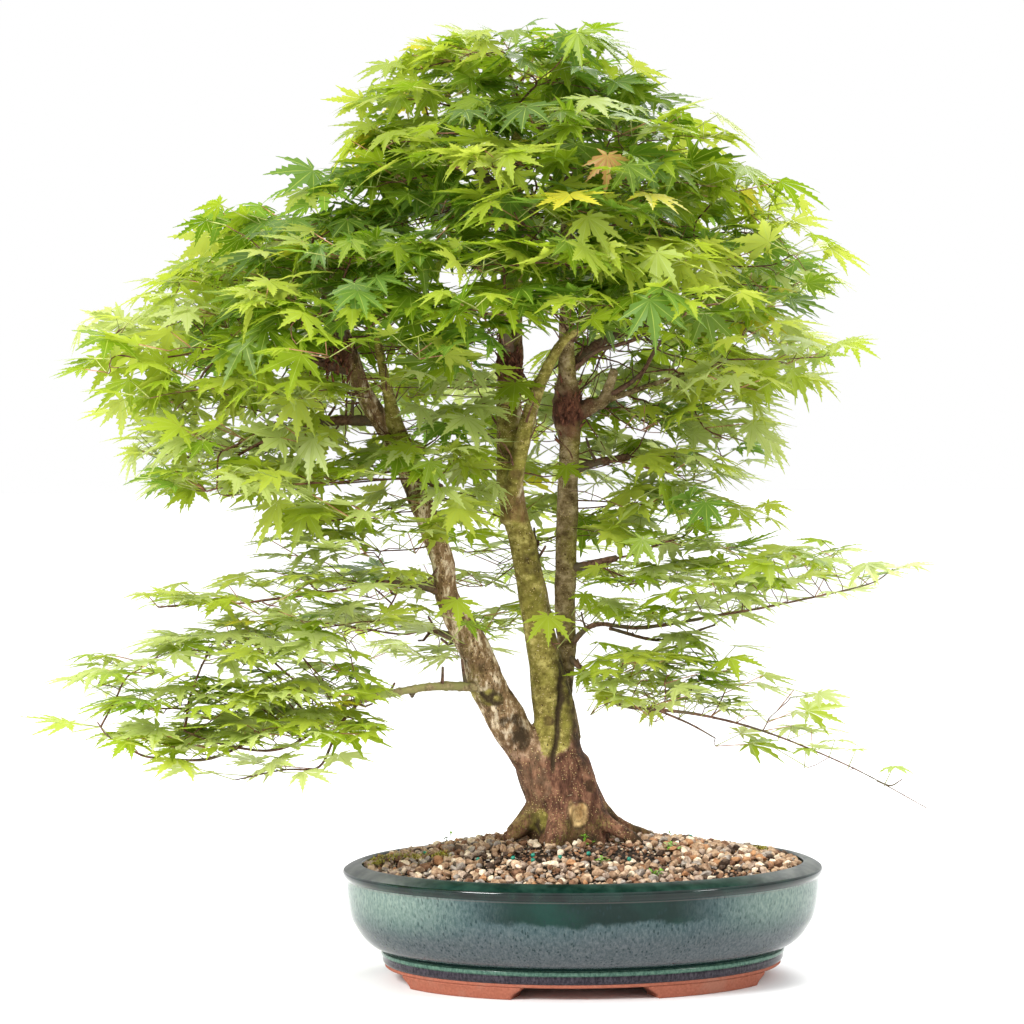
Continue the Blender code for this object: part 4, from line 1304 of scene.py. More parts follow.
def limb_colours(p, name, side):
    """How mossy and how flaky the bark of this limb is at p; side is 1 at its right edge. Less moss and more
    flaking towards the right edges is partly painted shade.
    """
    if name in MOSSY_LIMBS:
        line = MOSS_FROM + MOSS_SLOPE * (p.x + max(0.0, p.x - SEAM[0][0])) + 0.018 * noise.noise(p * 50)
        moss = clamped((p.z - line) / 0.012) * (1.0 + 0.5 * noise.noise(p * 24) - 0.55 * max(0.0, side))
        return moss, 0.35 * clamped((p.z - line) / 0.02)
    if name == "trunk_left":
        rising = clamped((p.z - 0.24) / 0.04)
        return rising * max(0.0, noise.noise(p * 22) - 0.18 - 0.25 * side), 0.15
    if name == "trunk_right":
        return 0.20 + 0.6 * noise.noise(p * 20) + 0.25 * side, 1.0
    return 0.15, 1.0


def raise_layer(layers, name, value):
    layers[name] = max(layers[name], value)


def mark_effects(p, marks, layers):
    """Raises and colours the bark round each mark; returns the rise and the darkness."""
    rise = 0.0
    dark = 0.0
    for place, width, height, kind in marks:
        distance = (p - place).length
        if distance > 3.0 * width:
            continue
        ragged = distance * (1.0 + 0.55 * noise.noise(p * 110))
        core = 1.0 - clamped((ragged - width * 0.75) / (width * 0.35))
        if kind in ("pale", "dark", "ring"):
            rise += height * 0.8 * bell(distance - width, width * 0.28)
        if kind == "pale":
            heart = bell(distance, 0.3 * width)
            raise_layer(layers, "pale", core * (0.95 - 0.55 * heart + 0.4 * noise.noise(p * 300)))
            dark += 0.6 * bell(distance - width * 1.25, width * 0.18)
            dark += 0.5 * bell(distance - width * 0.62, width * 0.12)
        elif kind == "green":
            raise_layer(layers, "moss", 0.7 * core)
            dark += 0.75 * core * clamped(0.5 + 1.3 * noise.noise(p * 150))
        elif kind == "grey":
            dark += 0.62 * core * clamped(0.7 + 1.2 * noise.noise(p * 170))
        elif kind == "red":
            raise_layer(layers, "burl", 0.55 * core)
        else:
            rise -= 0.8 * height * core
            dark += (0.75 if kind == "dark" else 0.30) * core
            raise_layer(layers, "burl", 0.45 * core)
    return rise, dark


def burl_effects(p, layers):
    """Raises the burls and makes some of them shaggy; returns the rise and the darkness."""
    rise = 0.0
    dark = 0.0
    for burl, (place, width, height) in BURLS.items():
        near = bell((p - Vector(place)).length, width)
        rise += height * near * (0.7 + 0.8 * noise.noise(p * 110))
        if burl in SHAGGY:
            raise_layer(layers, "burl", clamped(1.6 * near + 0.5 * noise.noise(p * 90) - 0.25))
            dark += 0.45 * near * clamped(2.0 * noise_at(p, 220, 90))
    return rise, dark


def seam_at(p):
    """How near the crack between the middle and right trunks is, up to 1 in it."""
    if p.y >= SEAM_BACK:
        return 0.0
    (foot_x, foot_z), (top_x, top_z) = SEAM
    seam_x = foot_x + (top_x - foot_x) * (p.z - foot_z) / (top_z - foot_z)
    off = abs(p.x - seam_x - 0.004 * noise.noise(p * 30))
    return bell(off, 0.0028) * bell(max(0.0, p.z - top_z, foot_z - p.z), 0.010)


def patches_and_painted_shade_at(p, side):
    """Darkness in ragged patches, partly the bark's own and partly painted shade, most on the right sides,
    away from the key light; painted shade low on the trunks, and darker at the foot.
    """
    patch = noise_at(p, 42, 20, 3.0)
    # Painted shade: more towards the right side and between about 0.22 and 0.42 up.
    shade = 0.24 * side + 0.06 * clamped((0.42 - p.z) / 0.10) * clamped((p.z - 0.225) / 0.02)
    patches = 0.62 * clamped(2.0 * (patch - 0.10 + shade)) * clamped(0.7 + 1.1 * noise.noise(p * 160))
    foot = clamped((0.172 - p.z) / 0.030) * clamped(0.45 + 1.6 * noise.noise(p * 45))
    return patches + 0.22 * clamped((0.360 - p.z) / 0.05) * clamped((p.z - 0.215) / 0.02) + 0.55 * foot


def bark_at(p, name, row, marks):
    """How far the bark stands out at p and the strength of each colour layer there."""
    radius = row[3]
    side = (p.x - row[0]) / radius
    layers = dict.fromkeys(BARK_LAYERS, 0.0)
    wide = noise.noise(p * 26)
    coarse = ridged(p, 120, 34)
    deep = 0.75 if p.z < MOSS_FROM else FISSURES.get(name, 0.45)
    rise = 0.13 * radius * wide + 0.00080 * deep * coarse + 0.00032 * ridged(p, 330, 110)
    rise += 0.00018 * noise_at(p, 30, 260) * (p.z > MOSS_FROM)
    layers["moss"], layers["flaky"] = limb_colours(p, name, side)
    burl_rise, burl_dark = burl_effects(p, layers)
    mark_rise, mark_dark = mark_effects(p, marks, layers)
    seam = seam_at(p)
    # Painted shade in the fissures and in the crack between two trunks, with the patches' painted shade and
    # the dark of burls and marks.
    dark = 0.60 * max(0.0, -coarse) * deep + patches_and_painted_shade_at(p, side) + burl_dark + mark_dark + 1.10 * seam
    raise_layer(layers, "moss", 0.32 * clamped((0.190 - p.z) / 0.03) * clamped(0.7 + noise.noise(p * 40)))
    layers["moss"] = clamped(layers["moss"])
    layers["upper"] = clamped((p.z - 0.215 + 0.02 * wide - 0.3 * (p.x + 0.05)) / 0.05)
    layers["dark"] = clamped(dark)
    return rise + burl_rise + mark_rise - 0.0038 * seam, layers


def make_trunks():
    """Bark relief and colour on the melted trunks."""
    mesh = melted_trunks()
    samples = []
    for name, points in THICK_LIMBS.items():
        samples += [(name, row) for row in smooth_route(points, SKIN_STEP)]
    tree = tree_of([Vector(row[:3]) for _, row in samples])
    skin = skin_of(mesh)
    marks = []
    for x, z, radius, height, kind in MARKS.values():
        place = skin.ray_cast(Vector((x, -1.0, z)), Vector((0, 1, 0)))[0]
        if place:
            marks.append((place, radius, height, kind))
    values = {layer: np.zeros(len(mesh.vertices), np.float32) for layer in BARK_LAYERS}
    places = np.zeros((len(mesh.vertices), 3))
    for index, vertex in enumerate(mesh.vertices):
        p = vertex.co - POT
        near = [(distance / samples[i][1][3], samples[i]) for _, i, distance in tree.find_n(p, 6)]
        name, row = min(near, key=lambda item: item[0])[1]
        rise, layers = bark_at(p, name, row, marks)
        places[index] = vertex.co + vertex.normal * rise
        for layer in BARK_LAYERS:
            values[layer][index] = layers[layer]
    mesh.vertices.foreach_set("co", places.ravel())
    for layer in BARK_LAYERS:
        mesh.attributes.new(layer, "FLOAT", "POINT").data.foreach_set("value", values[layer])
    mesh.materials.clear()
    mesh.update()
    new_piece("bark_trunks", mesh, [bark()], list(TRUNKS))


def knobbly_tube(route):
    """A tube along the route with swollen nodes and uneven bark."""
    route = route.copy()
    along = np.arange(len(route)) * ROUTE_STEP
    wander = np.array([noise.noise(Vector(row[:3]) * 55) for row in route])
    nodes = np.exp(-((along % NODE_SPACING) / 0.0022) ** 2)
    route[:, 3] *= 1 + 0.16 * nodes + 0.12 * wander
    sides = 12 if route[:, 3].max() > 0.0030 else 8
    places, faces = tube(route, sides)
    relief = np.array([noise.noise(Vector(p) * 240) for p in places])
    body = places[:-2] - np.repeat(route[:, :3], sides, axis=0)
    places[:-2] += body * (0.14 * relief[:-2, None])
    return route, places, faces


def add_spurs(rng, heap, route):
    """Short stubs of lost twigs along the thicker part of a bough."""
    for start in np.arange(0.030, (len(route) - 1) * ROUTE_STEP, SPUR_SPACING):
        row = route[int(start / ROUTE_STEP)]
        root, radius = row[:3], row[3]
        if radius < 0.0016:
            break
        way = unit(rng.normal(0, 1, 3) + (0, 0, 0.5))
        reach = rng.uniform(2.5, 6.0) * radius + 0.002
        bend = root + way * reach * 0.6
        tip = root + (way + (0, 0, 0.3)) * reach
        heap.add_tube(5, (root, 0.55 * radius), (bend, 0.36 * radius), (tip, 0.30 * radius))


def make_boughs(routes):
    """The thin boughs and bare branches."""
    rng = np.random.default_rng(31)
    heap = Heap()
    for name in [*BOUGHS, *BRANCHES]:
        route, places, faces = knobbly_tube(routes[name])
        heap.add(places, faces, int(name.startswith(GREEN_BOUGHS)))
        add_spurs(rng, heap, route)
    skins = [
        bough_bark("bough_brown", (0.050, 0.022, 0.014), (0.230, 0.130, 0.080), (0.115, 0.090, 0.050)),
        bough_bark("bough_olive", (0.110, 0.075, 0.034), (0.380, 0.300, 0.150), (0.250, 0.235, 0.085)),
    ]
    new_piece("bark_boughs", heap, skins, list(BOUGHS))


def make_burl_buds():
    """Red-brown buds and stubs that make the burls shaggy."""
    rng = np.random.default_rng(32)
    heap = Heap()
    for name in SHAGGY:
        place, width, _ = BURLS[name]
        for _ in range(BUDS_PER_BURL):
            turn = rng.uniform(0, 2 * math.pi)
            out = np.array([math.cos(turn), math.sin(turn), 0.0])
            root = np.array(place) + out * 0.0105 + (0, 0, rng.normal(0, 0.55 * width))
            way = unit(out * rng.uniform(0.1, 0.6) + rng.normal(0, 0.25, 3) + (0, 0, 1.0))
            reach = rng.uniform(0.004, 0.010)
            heap.add_tube(5, (root, 0.0013), (root + way * reach * 0.6, 0.0011), (root + way * reach, 0.0005))
    skin = plain_skin("burl_bud", (0.045, 0.014, 0.008), (0.230, 0.085, 0.045), 0.8, 300.0)
    new_piece("burl_buds", heap, [skin])


# ------------------------------------------------------------------- growth

class Crown:
    """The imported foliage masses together: where sprays may lie."""

    def __init__(self):
        self.names = [name for names in FOLIAGE.values() for name in names]
        boxes = [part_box("leaves_" + name) for name in self.names]
        self.middles = np.array([(low + high) / 2 - POT for low, high in boxes])
        self.halves = np.array([(high - low) / 2 for low, high in boxes])
        self.skins = [skin_of(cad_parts["leaves_" + name].data) for name in self.names]

    def depth(self, point):
        """How far inside its deepest mass the point is, below 0 outside, and that mass.

        A point in the gap between two masses that nearly touch counts as just inside.
        """
        near = (np.abs(point - self.middles) <= self.halves + BRIDGE).all(1)
        found = []
        spot = Vector(point)
        for index in np.flatnonzero(near):
            place, normal, _, distance = self.skins[index].find_nearest(spot)
            depth = distance if (spot - place).dot(normal) < 0.0 else -distance
            found.append((depth, self.names[index]))
        if not found:
            return -1.0, None
        found.sort(reverse=True)
        if found[0][0] < 0.0 and len(found) > 1 and found[0][0] + found[1][0] > -1.5 * BRIDGE:
            return BRIDGE_DEPTH, found[0][1]
        return found[0]


CROWN = Crown()
GROUP_OF = {name: group for group, names in FOLIAGE.items() for name in names}
AXIS = np.array((-0.060, 0.020))  # the middle of the trunks, seen from above


def way_out(point):
    """The level direction away from the trunks."""
    away = unit(np.asarray(point)[:2] - AXIS)
    return np.array([away[0], away[1], 0.0])


def turned(way, angle):
    return np.array([
        way[0] * math.cos(angle) - way[1] * math.sin(angle),
        way[0] * math.sin(angle) + way[1] * math.cos(angle), 0.0,
    ])


def tier_height(point):
    """The height of the tier nearest the point; the tiers dip away from the trunks."""
    dip = -LAYER_DIP * math.dist(point[:2], AXIS) + 0.020 * noise.noise(Vector(point) * 7)
    return round((point[2] - dip) / LAYER_GAP) * LAYER_GAP + dip


def in_shell(point):
    """Whether the crown's side or top is near."""
    aside = CROWN.depth(point + way_out(point) * SHELL)[0] < 0.0
    return aside or CROWN.depth(point + np.array([0, 0, 0.6 * SHELL]))[0] < 0.0


def opened(point):
    """Whether the point hides one of the openings from the front."""
    for (x, y, z), half_width, half_height in OPENINGS:
        if point[1] < y:
            ahead = (y - CAMERA_PLACE.y) / (point[1] - CAMERA_PLACE.y)
            off_x = CAMERA_PLACE.x + (point[0] - CAMERA_PLACE.x) * ahead - x
            off_z = CAMERA_PLACE.z + (point[2] - CAMERA_PLACE.z) * ahead - z
            if math.hypot(off_x / half_width, off_z / half_height) < 1.0:
                return True
    return False


def domed(point, room=0.0):
    """Whether the point is under the crown's dome, which rounds its top, front, back and corners."""
    if point[2] < LOW_BELOW:
        return True
    x, y, z = (np.asarray(point) - DOME_MIDDLE) / (np.array(DOME_HALF) + room)
    plan = abs(x) ** DOME_PLAN_POWER + abs(y) ** DOME_PLAN_POWER
    return plan < 1.0 and abs(y) ** DOME_POWER + max(0.0, z) ** DOME_POWER < 1.0


def fingered(point):
    """Whether the crown's fringe has a spray at the point: it parts into fingers."""
    out = way_out(point)
    if CROWN.depth(point + out * FRINGE_DEPTH)[0] > 0.0:
        return True
    parting = noise.noise(Vector((out[0] * 5.0, out[1] * 5.0, point[2] * 16.0)))
    return parting > FRINGE_CUT + FRINGE_RIGHT * max(0.0, out[0])


def shoot_fits(rng, point):
    """Whether a shoot may end at the point, whose height is its tier's."""
    if CROWN.depth(point + way_out(point) * LEAF_REACH)[0] < -OUTLINE_SLACK:
        return False
    if CROWN.depth(point)[0] < 0.003 or opened(point) or not (fingered(point) and domed(point)):
        return False
    return in_shell(point) or rng.random() <= INNER_SHARE


def shoot_targets(rng):
    """Where shoots end: in tiers, dense in the crown's shell and sparse inside it."""
    targets = np.empty((0, 3))
    for name, middle, half in zip(CROWN.names, CROWN.middles, CROWN.halves):
        tries = round(np.prod(2 * half) / TARGET_VOLUME)
        spacing = TARGET_SPACING / FULLNESS.get(name, 1.0)
        for q in rng.uniform(-1, 1, (tries, 3)):
            point = middle + q * half
            if CROWN.depth(point)[0] < 0.0:
                continue
            point[2] = tier_height(point) + rng.normal(0, TIER_SCATTER)
            gaps = np.abs(targets - point)
            if shoot_fits(rng, point) and (np.hypot(gaps[:, 0], gaps[:, 1]) + gaps[:, 2] >= spacing).all():
                targets = np.vstack([targets, point])
    return targets


def next_node(rng, place, parent, pulling, tree):
    """One step from place towards the targets that pull it, or to the nearest if they disagree."""
    aim = Vector((0, 0, 0))
    for target in pulling:
        aim += (target - place).normalized()
    if parent is not None:
        aim += GROW_ONWARD * (place - parent).normalized()
    aim += Vector(rng.normal(0, GROW_WANDER, 3))
    step = place + aim.normalized() * GROW_STEP
    if aim.length < GROW_BALANCED or tree.find(step)[2] < 0.45 * GROW_STEP:
        way = min(pulling, key=lambda target: (target - place).length) - place
        step = place + way.normalized() * min(GROW_STEP, way.length)
    return step


def grow(seeds, targets, rng):
    """Space colonisation: nodes grow from the seeds by steps until each target is met.

    Returns the nodes' places and each one's parent, which is -1 for a seed.
    """
    stretch = np.array((1.0, 1.0, TIER_PULL))
    nodes = [Vector(seed * stretch) for seed in seeds]
    parents = [-1] * len(nodes)
    waiting = [Vector(target * stretch) for target in targets]
    for _ in range(GROW_ROUNDS):
        tree = tree_of(nodes)
        found = [(target, *tree.find(target)[1:]) for target in waiting]
        pulls = {}
        for target, index, distance in found:
            if distance >= REACHED:
                pulls.setdefault(index, []).append(target)
        waiting = [target for target, _, distance in found if distance >= REACHED]
        if not waiting:
            break
        for index, pulling in pulls.items():
            parent = nodes[parents[index]] if parents[index] >= 0 else None
            nodes.append(next_node(rng, nodes[index], parent, pulling, tree))
            parents.append(index)
    return np.array([node[:] for node in nodes]) / stretch, np.array(parents)


def twig_radii(nodes, parents, seed_count):
    """Pipe model: each node carries the sum of what its shoots carry."""
    carried = np.zeros(len(nodes))
    children = np.bincount(parents[parents >= 0], minlength=len(nodes))
    carried[children == 0] = TWIG_TIP ** PIPE_POWER
    for index in range(len(nodes) - 1, seed_count - 1, -1):
        carried[parents[index]] += carried[index]
    return np.minimum(carried ** (1 / PIPE_POWER), TWIG_MOST)


def twig_chains(parents, radii, seed_count):
    """The grown nodes as runs, each from where it leaves its parent to its tip."""
    heir = {}
    for index in range(seed_count, len(parents)):
        parent = parents[index]
        if parent not in heir or radii[index] > radii[heir[parent]]:
            heir[parent] = index
    chains = []
    for index in range(seed_count, len(parents)):
        parent = parents[index]
        if parent >= seed_count and heir[parent] == index:
            continue
        chain = [parent, index]
        while chain[-1] in heir:
            chain.append(heir[chain[-1]])
        chains.append(chain)
    return chains


def add_bare_twigs(rng, routes, heap):
    """Short leafless twigs under the crown, thickest round the cut back boughs."""
    spots = []
    for name, route in routes.items():
        if name not in BRANCHES and not name.startswith("bough_low"):
            spots += [row[:3] for row in route[::3] if BARE_FROM < row[2] < BARE_TO]
    for _ in range(BARE_TWIGS):
        line = [spots[rng.integers(len(spots))]]
        heading = unit(way_out(line[0]) * rng.uniform(-0.4, 1.2) + rng.normal(0, 0.6, 3) + (0, 0, 0.45))
        reach = rng.uniform(*BARE_REACH)
        for _ in range(BARE_STEPS):
            heading = unit(heading + rng.normal(0, 0.22, 3) + (0, 0, 0.05))
            line.append(line[-1] + heading * reach / BARE_STEPS)
        radii = np.linspace(rng.uniform(*BARE_RADIUS), 0.0004, len(line))
        heap.add(*tube(np.column_stack([line, radii]), 4))
        if rng.random() < 0.6:
            tip = line[2] + unit(heading + rng.normal(0, 0.7, 3)) * reach * 0.4
            heap.add_tube(3, (line[2], 0.0006), (tip, 0.0003))


# ------------------------------------------------------------------- leaves

LOBE_ANGLES = (0, 37, -37, 76, -76, 122, -122)  # degrees from the middle lobe
LOBE_LENGTHS = (1.00, 0.92, 0.92, 0.70, 0.70, 0.34, 0.34)
NEAR_SHAPES = 14  # how many kinds of leaf there are
INNER_SHAPES = 6
TEETH_NEAR = (5, 5, 5, 3, 3, 1, 1)  # each side of a lobe
TEETH_INNER = (3, 3, 3, 2, 2, 1, 1)  # for leaves deep in the crown
SINUS = 0.34  # where neighbouring lobes part, against the lobe's length
LOBE_WIDTH = 0.130  # half width against length
WIDEST = 0.52
VEIN_WIDTH = 0.011
LOBE_SCATTER_DEG = 3.5
TOOTH_AT = 0.66  # where a tooth's point is, between its notches
TOOTH_LEAN = 0.022  # towards the lobe's tip, against the lobe's length
TOOTH_JUT = (1.08, 1.34)  # how far it stands out, against the blade's half width
NOTCH_DEPTH = 0.64  # of that half width is left at a notch
LEAF_FOLD = (0.02, 0.32)  # how steeply a lobe's halves rise from its vein
LEAF_DROOP = (-0.05, 0.20)  # how far its lobes bend down
LEAF_CUP = (-0.12, 0.06)  # how far they slope down
OUTER_GAP = 0.55  # how far beyond the last lobes the leaf's edge starts, in radians
OUTER_REACH = 0.10


def lobe_width(share):
    """Half width of a lobe's blade at this share of its length, against its length."""
    if share < WIDEST:
        rise = max(0.0, (share - SINUS) / (WIDEST - SINUS))
        return LOBE_WIDTH * (0.72 + 0.28 * math.sin(rise * math.pi / 2))
    return LOBE_WIDTH * ((1 - share) / (1 - WIDEST)) ** 1.15


class LeafSheet:
    """The places and triangles of one leaf as its lobes are drawn."""

    def __init__(self, fold, cup):
        self.fold = fold
        self.cup = cup
        self.places = [(0.0, 0.0, 0.0)]
        self.faces = []
        self.veins = []

    def add_faces(self, triangles, vein):
        self.faces += triangles
        self.veins += [vein] * len(triangles)

    def start_lobe(self, angle, length, sag, bend):
        self.along = Vector((math.sin(angle), math.cos(angle)))
        self.across = Vector((self.along.y, -self.along.x))
        self.length = length
        self.sag = sag
        self.bend = bend

    def put(self, u, v):
        """A place at u along and v across the lobe, bent to the lobe's own curve."""
        share = u / self.length
        flat = self.along * u + self.across * (v + 0.5 * self.bend * self.length * share ** 2)
        lift = self.fold * abs(v) - self.sag * self.length * share ** 2 - self.cup * self.length * share
        self.places.append((flat.x, flat.y, lift))
        return len(self.places) - 1


def leaf_lobes(rng, teeth_counts):
    """The lobes from left to right, as (angle, length, teeth), and the gaps beside them."""
    lobes = []
    for angle, length, teeth in sorted(zip(LOBE_ANGLES, LOBE_LENGTHS, teeth_counts)):
        angle = math.radians(angle + rng.normal(0, LOBE_SCATTER_DEG))
        lobes.append((angle, length * rng.uniform(0.92, 1.06), teeth))
    gaps = [(lobes[0][0] - OUTER_GAP, OUTER_REACH)]
    for (a, length_a, _), (b, length_b, _) in zip(lobes, lobes[1:]):
        gaps.append(((a + b) / 2, SINUS * min(length_a, length_b) * rng.uniform(0.95, 1.12)))
    gaps.append((lobes[-1][0] + OUTER_GAP, OUTER_REACH))
    return lobes, gaps


def half_lobe(rng, sheet, side, starts, run, tip, gap):
    """One toothed half of the current lobe, from its vein's run out to its edge; gap is its first notch."""
    length = sheet.length
    notches = [sheet.put(*gap)]
    points = []
    for k, t in enumerate(starts):
        ahead = [*starts, 1.0][k + 1]
        if k:
            notches.append(sheet.put(t * length, side * length * lobe_width(t) * NOTCH_DEPTH))
        point = t + TOOTH_AT * (ahead - t)
        jut = rng.uniform(*TOOTH_JUT)
        points.append(sheet.put((point + TOOTH_LEAN) * length, side * length * lobe_width(point) * jut))
    notches.append(tip)
    triangles = [(0, notches[0], run[0])]
    for k, point in enumerate(points):
        triangles.append((run[k], notches[k], point))
        triangles.append((run[k], point, notches[k + 1]))
        if k + 1 < len(points):
            triangles.append((run[k], notches[k + 1], run[k + 1]))
    sheet.add_faces([triangle if side < 0 else triangle[::-1] for triangle in triangles], False)


def leaf_shape(rng, teeth_counts):
    """One leaf's places, faces and which faces are vein; its stalk end is at the origin.

    The middle lobe points along +Y and is 1 long; the upper face looks along +Z.
    """
    fold = rng.uniform(*LEAF_FOLD)
    droop = rng.uniform(*LEAF_DROOP)
    sheet = LeafSheet(fold, rng.uniform(*LEAF_CUP))
    lobes, gaps = leaf_lobes(rng, teeth_counts)
    for order, (angle, length, teeth) in enumerate(lobes):
        sheet.start_lobe(angle, length, droop * rng.uniform(0.4, 1.7), rng.normal(0, 0.10))
        starts = [SINUS + (0.97 - SINUS) * (k / teeth) ** 0.92 for k in range(teeth)]
        tip = sheet.put(length, 0.0)
        runs = {}
        for side in (-1, 1):
            runs[side] = [sheet.put(t * length, side * VEIN_WIDTH * (1 - 0.8 * t)) for t in starts]
        for side in (-1, 1):
            gap_angle, reach = gaps[order + (side > 0)]
            gap = (reach * math.cos(gap_angle - angle), reach * math.sin(gap_angle - angle))
            half_lobe(rng, sheet, side, starts, runs[side], tip, gap)
        left, right = runs[-1], runs[1]
        strip = [(0, left[0], right[0])]
        for k in range(teeth - 1):
            strip += [(left[k], left[k + 1], right[k + 1]), (left[k], right[k + 1], right[k])]
        strip.append((left[-1], tip, right[-1]))
        sheet.add_faces(strip, True)
    return np.array(sheet.places), np.array(sheet.faces)[:, ::-1], np.array(sheet.veins)


TINTS = [  # name, colour of the upper face, colour of light through it
    ("leaf_deep", (0.060, 0.116, 0.006), (0.212, 0.376, 0.010)),
    ("leaf_dark", (0.108, 0.178, 0.008), (0.315, 0.492, 0.016)),
    ("leaf_mid", (0.184, 0.260, 0.013), (0.445, 0.605, 0.024)),
    ("leaf_fresh", (0.266, 0.334, 0.024), (0.545, 0.680, 0.046)),
    ("leaf_lime", (0.345, 0.405, 0.046), (0.640, 0.725, 0.090)),
    ("leaf_cool", (0.104, 0.192, 0.022), (0.290, 0.500, 0.050)),
    ("leaf_pale", (0.385, 0.445, 0.140), (0.690, 0.780, 0.260)),
    ("leaf_yellow", (0.540, 0.490, 0.030), (0.760, 0.690, 0.060)),
    ("leaf_bronze", (0.250, 0.200, 0.060), (0.480, 0.380, 0.080)),
    ("leaf_dried", (0.460, 0.250, 0.075), (0.560, 0.310, 0.090)),
]
DEEP, DARK, MID, FRESH, LIME, COOL, PALE, YELLOW, BRONZE, DRIED = range(len(TINTS))
VEIN = len(TINTS)


def spray_tint(rng, tip):
    """Which tint a spray has: darker inside the crown, as painted shade; paler low down and at both ends, and
    lighter to the right, partly painted light.
    """
    # Low sprays are mostly pale: partly their own paler colour, partly painted light from the bright floor.
    if tip[2] < LOW_BELOW:
        return int(rng.choice([DARK, MID, FRESH, LIME, PALE], p=[0.03, 0.13, 0.20, 0.14, 0.50]))
    if tip[0] < LEFT_TIP_X and tip[2] > LEFT_TIP_Z:
        return int(rng.choice([MID, FRESH, LIME, PALE, BRONZE], p=[0.38, 0.34, 0.08, 0.16, 0.04]))
    low = tip[2] < PALE_BELOW
    # Partly painted light: low sprays and those at the right end are often pale.
    if (low or tip[0] > RIGHT_END) and rng.random() < PALE_SHARE:
        return PALE
    if rng.random() < COOL_SHARE:
        return COOL
    # Painted light: lighter tints low down and to the right.
    light = rng.normal(0, 1.0) + 1.0 * low + 0.7 * (tip[0] > RIGHT_LIGHT)
    # Painted shade: sprays inside the crown take darker tints.
    if not low and not in_shell(tip):
        light -= INNER_PAINTED_SHADE
    return int(np.clip(round(MID + 0.48 + light), DEEP, LIME))


def leaf_tint(rng, tint):
    """The tint of one leaf of a spray with this tint."""
    if rng.random() < YELLOW_SHARE:
        return YELLOW
    if tint <= LIME and rng.random() < ODD_LEAF_SHARE:
        return int(np.clip(tint + rng.choice([-1, 1]), DEEP, LIME))
    return tint


LONE_LEAVES = [  # place of the leaf's stalk end, degrees round from +X, droop, length, tint
    ((0.1537, -0.004, 0.326), -10, 4, 0.046, FRESH), ((0.118, -0.004, 0.329), 170, 8, 0.04, MID),
    ((0.264, -0.06, 0.227), 282, 3, 0.022, FRESH), ((0.302, -0.058, 0.209), 285, 5, 0.03, MID),
    ((0.2135, -0.06, 0.2286), 262, 7, 0.026, MID), ((0.0019, 0.0, 0.3796), 300, 50, 0.028, MID),
    ((-0.0052, 0.0, 0.3478), 350, 14, 0.024, FRESH), ((0.0146, -0.01, 0.4077), 215, 32, 0.032, LIME),
    ((0.026, 0.0, 0.3734), 320, 30, 0.038, PALE), ((0.0663, 0.0, 0.3611), 300, 30, 0.03, LIME),
    ((0.0164, -0.01, 0.3322), 345, 8, 0.044, MID), ((0.0485, -0.01, 0.3239), 280, 44, 0.044, PALE),
    ((0.0625, -0.04, 0.2704), 265, 66, 0.024, LIME), ((0.0192, -0.01, 0.2805), 300, 60, 0.02, FRESH),
    ((0.1133, -0.03, 0.2808), 350, 10, 0.034, DARK), ((0.0549, -0.02, 0.3027), 200, 18, 0.036, FRESH),
    ((-0.042, -0.225, 0.756), 255, 22, 0.062, YELLOW), ((0.038, -0.19, 0.76), 300, 20, 0.05, YELLOW),
    ((-0.002, -0.195, 0.795), 265, 82, 0.036, DRIED), ((-0.1325, -0.09, 0.467), 290, 30, 0.052, LIME),
    ((-0.1299, -0.05, 0.377), 265, 34, 0.04, FRESH), ((-0.1212, -0.05, 0.3555), 325, 20, 0.042, DARK),
    ((-0.0381, -0.03, 0.3595), 262, 40, 0.042, FRESH), ((-0.0008, -0.01, 0.3026), 280, 36, 0.036, MID),
    ((-0.0143, 0.01, 0.507), 270, 42, 0.034, MID), ((-0.0699, -0.03, 0.5886), 262, 44, 0.046, MID),
    ((-0.1893, -0.08, 0.5181), 258, 48, 0.042, DARK), ((-0.141, -0.05, 0.5473), 270, 32, 0.044, COOL),
    ((0.0133, -0.03, 0.286), 300, 24, 0.036, FRESH),
]
STALK_DROP = (0.020, 0.022)  # how far behind and below a lone leaf its stalk starts


def tilted_down(way, angle):
    """A level direction turned down by the angle."""
    return way * math.cos(angle) - np.array([0, 0, math.sin(angle)])


def level_way(degrees):
    """The level direction this far round from +X."""
    turn = math.radians(degrees)
    return np.array([math.cos(turn), math.sin(turn), 0.0])


def stalk_foot(place, angle):
    """Where the stalk of a lone leaf leaves its twig."""
    back, down = STALK_DROP
    return np.array(place) - back * level_way(angle) - (0, 0, down)


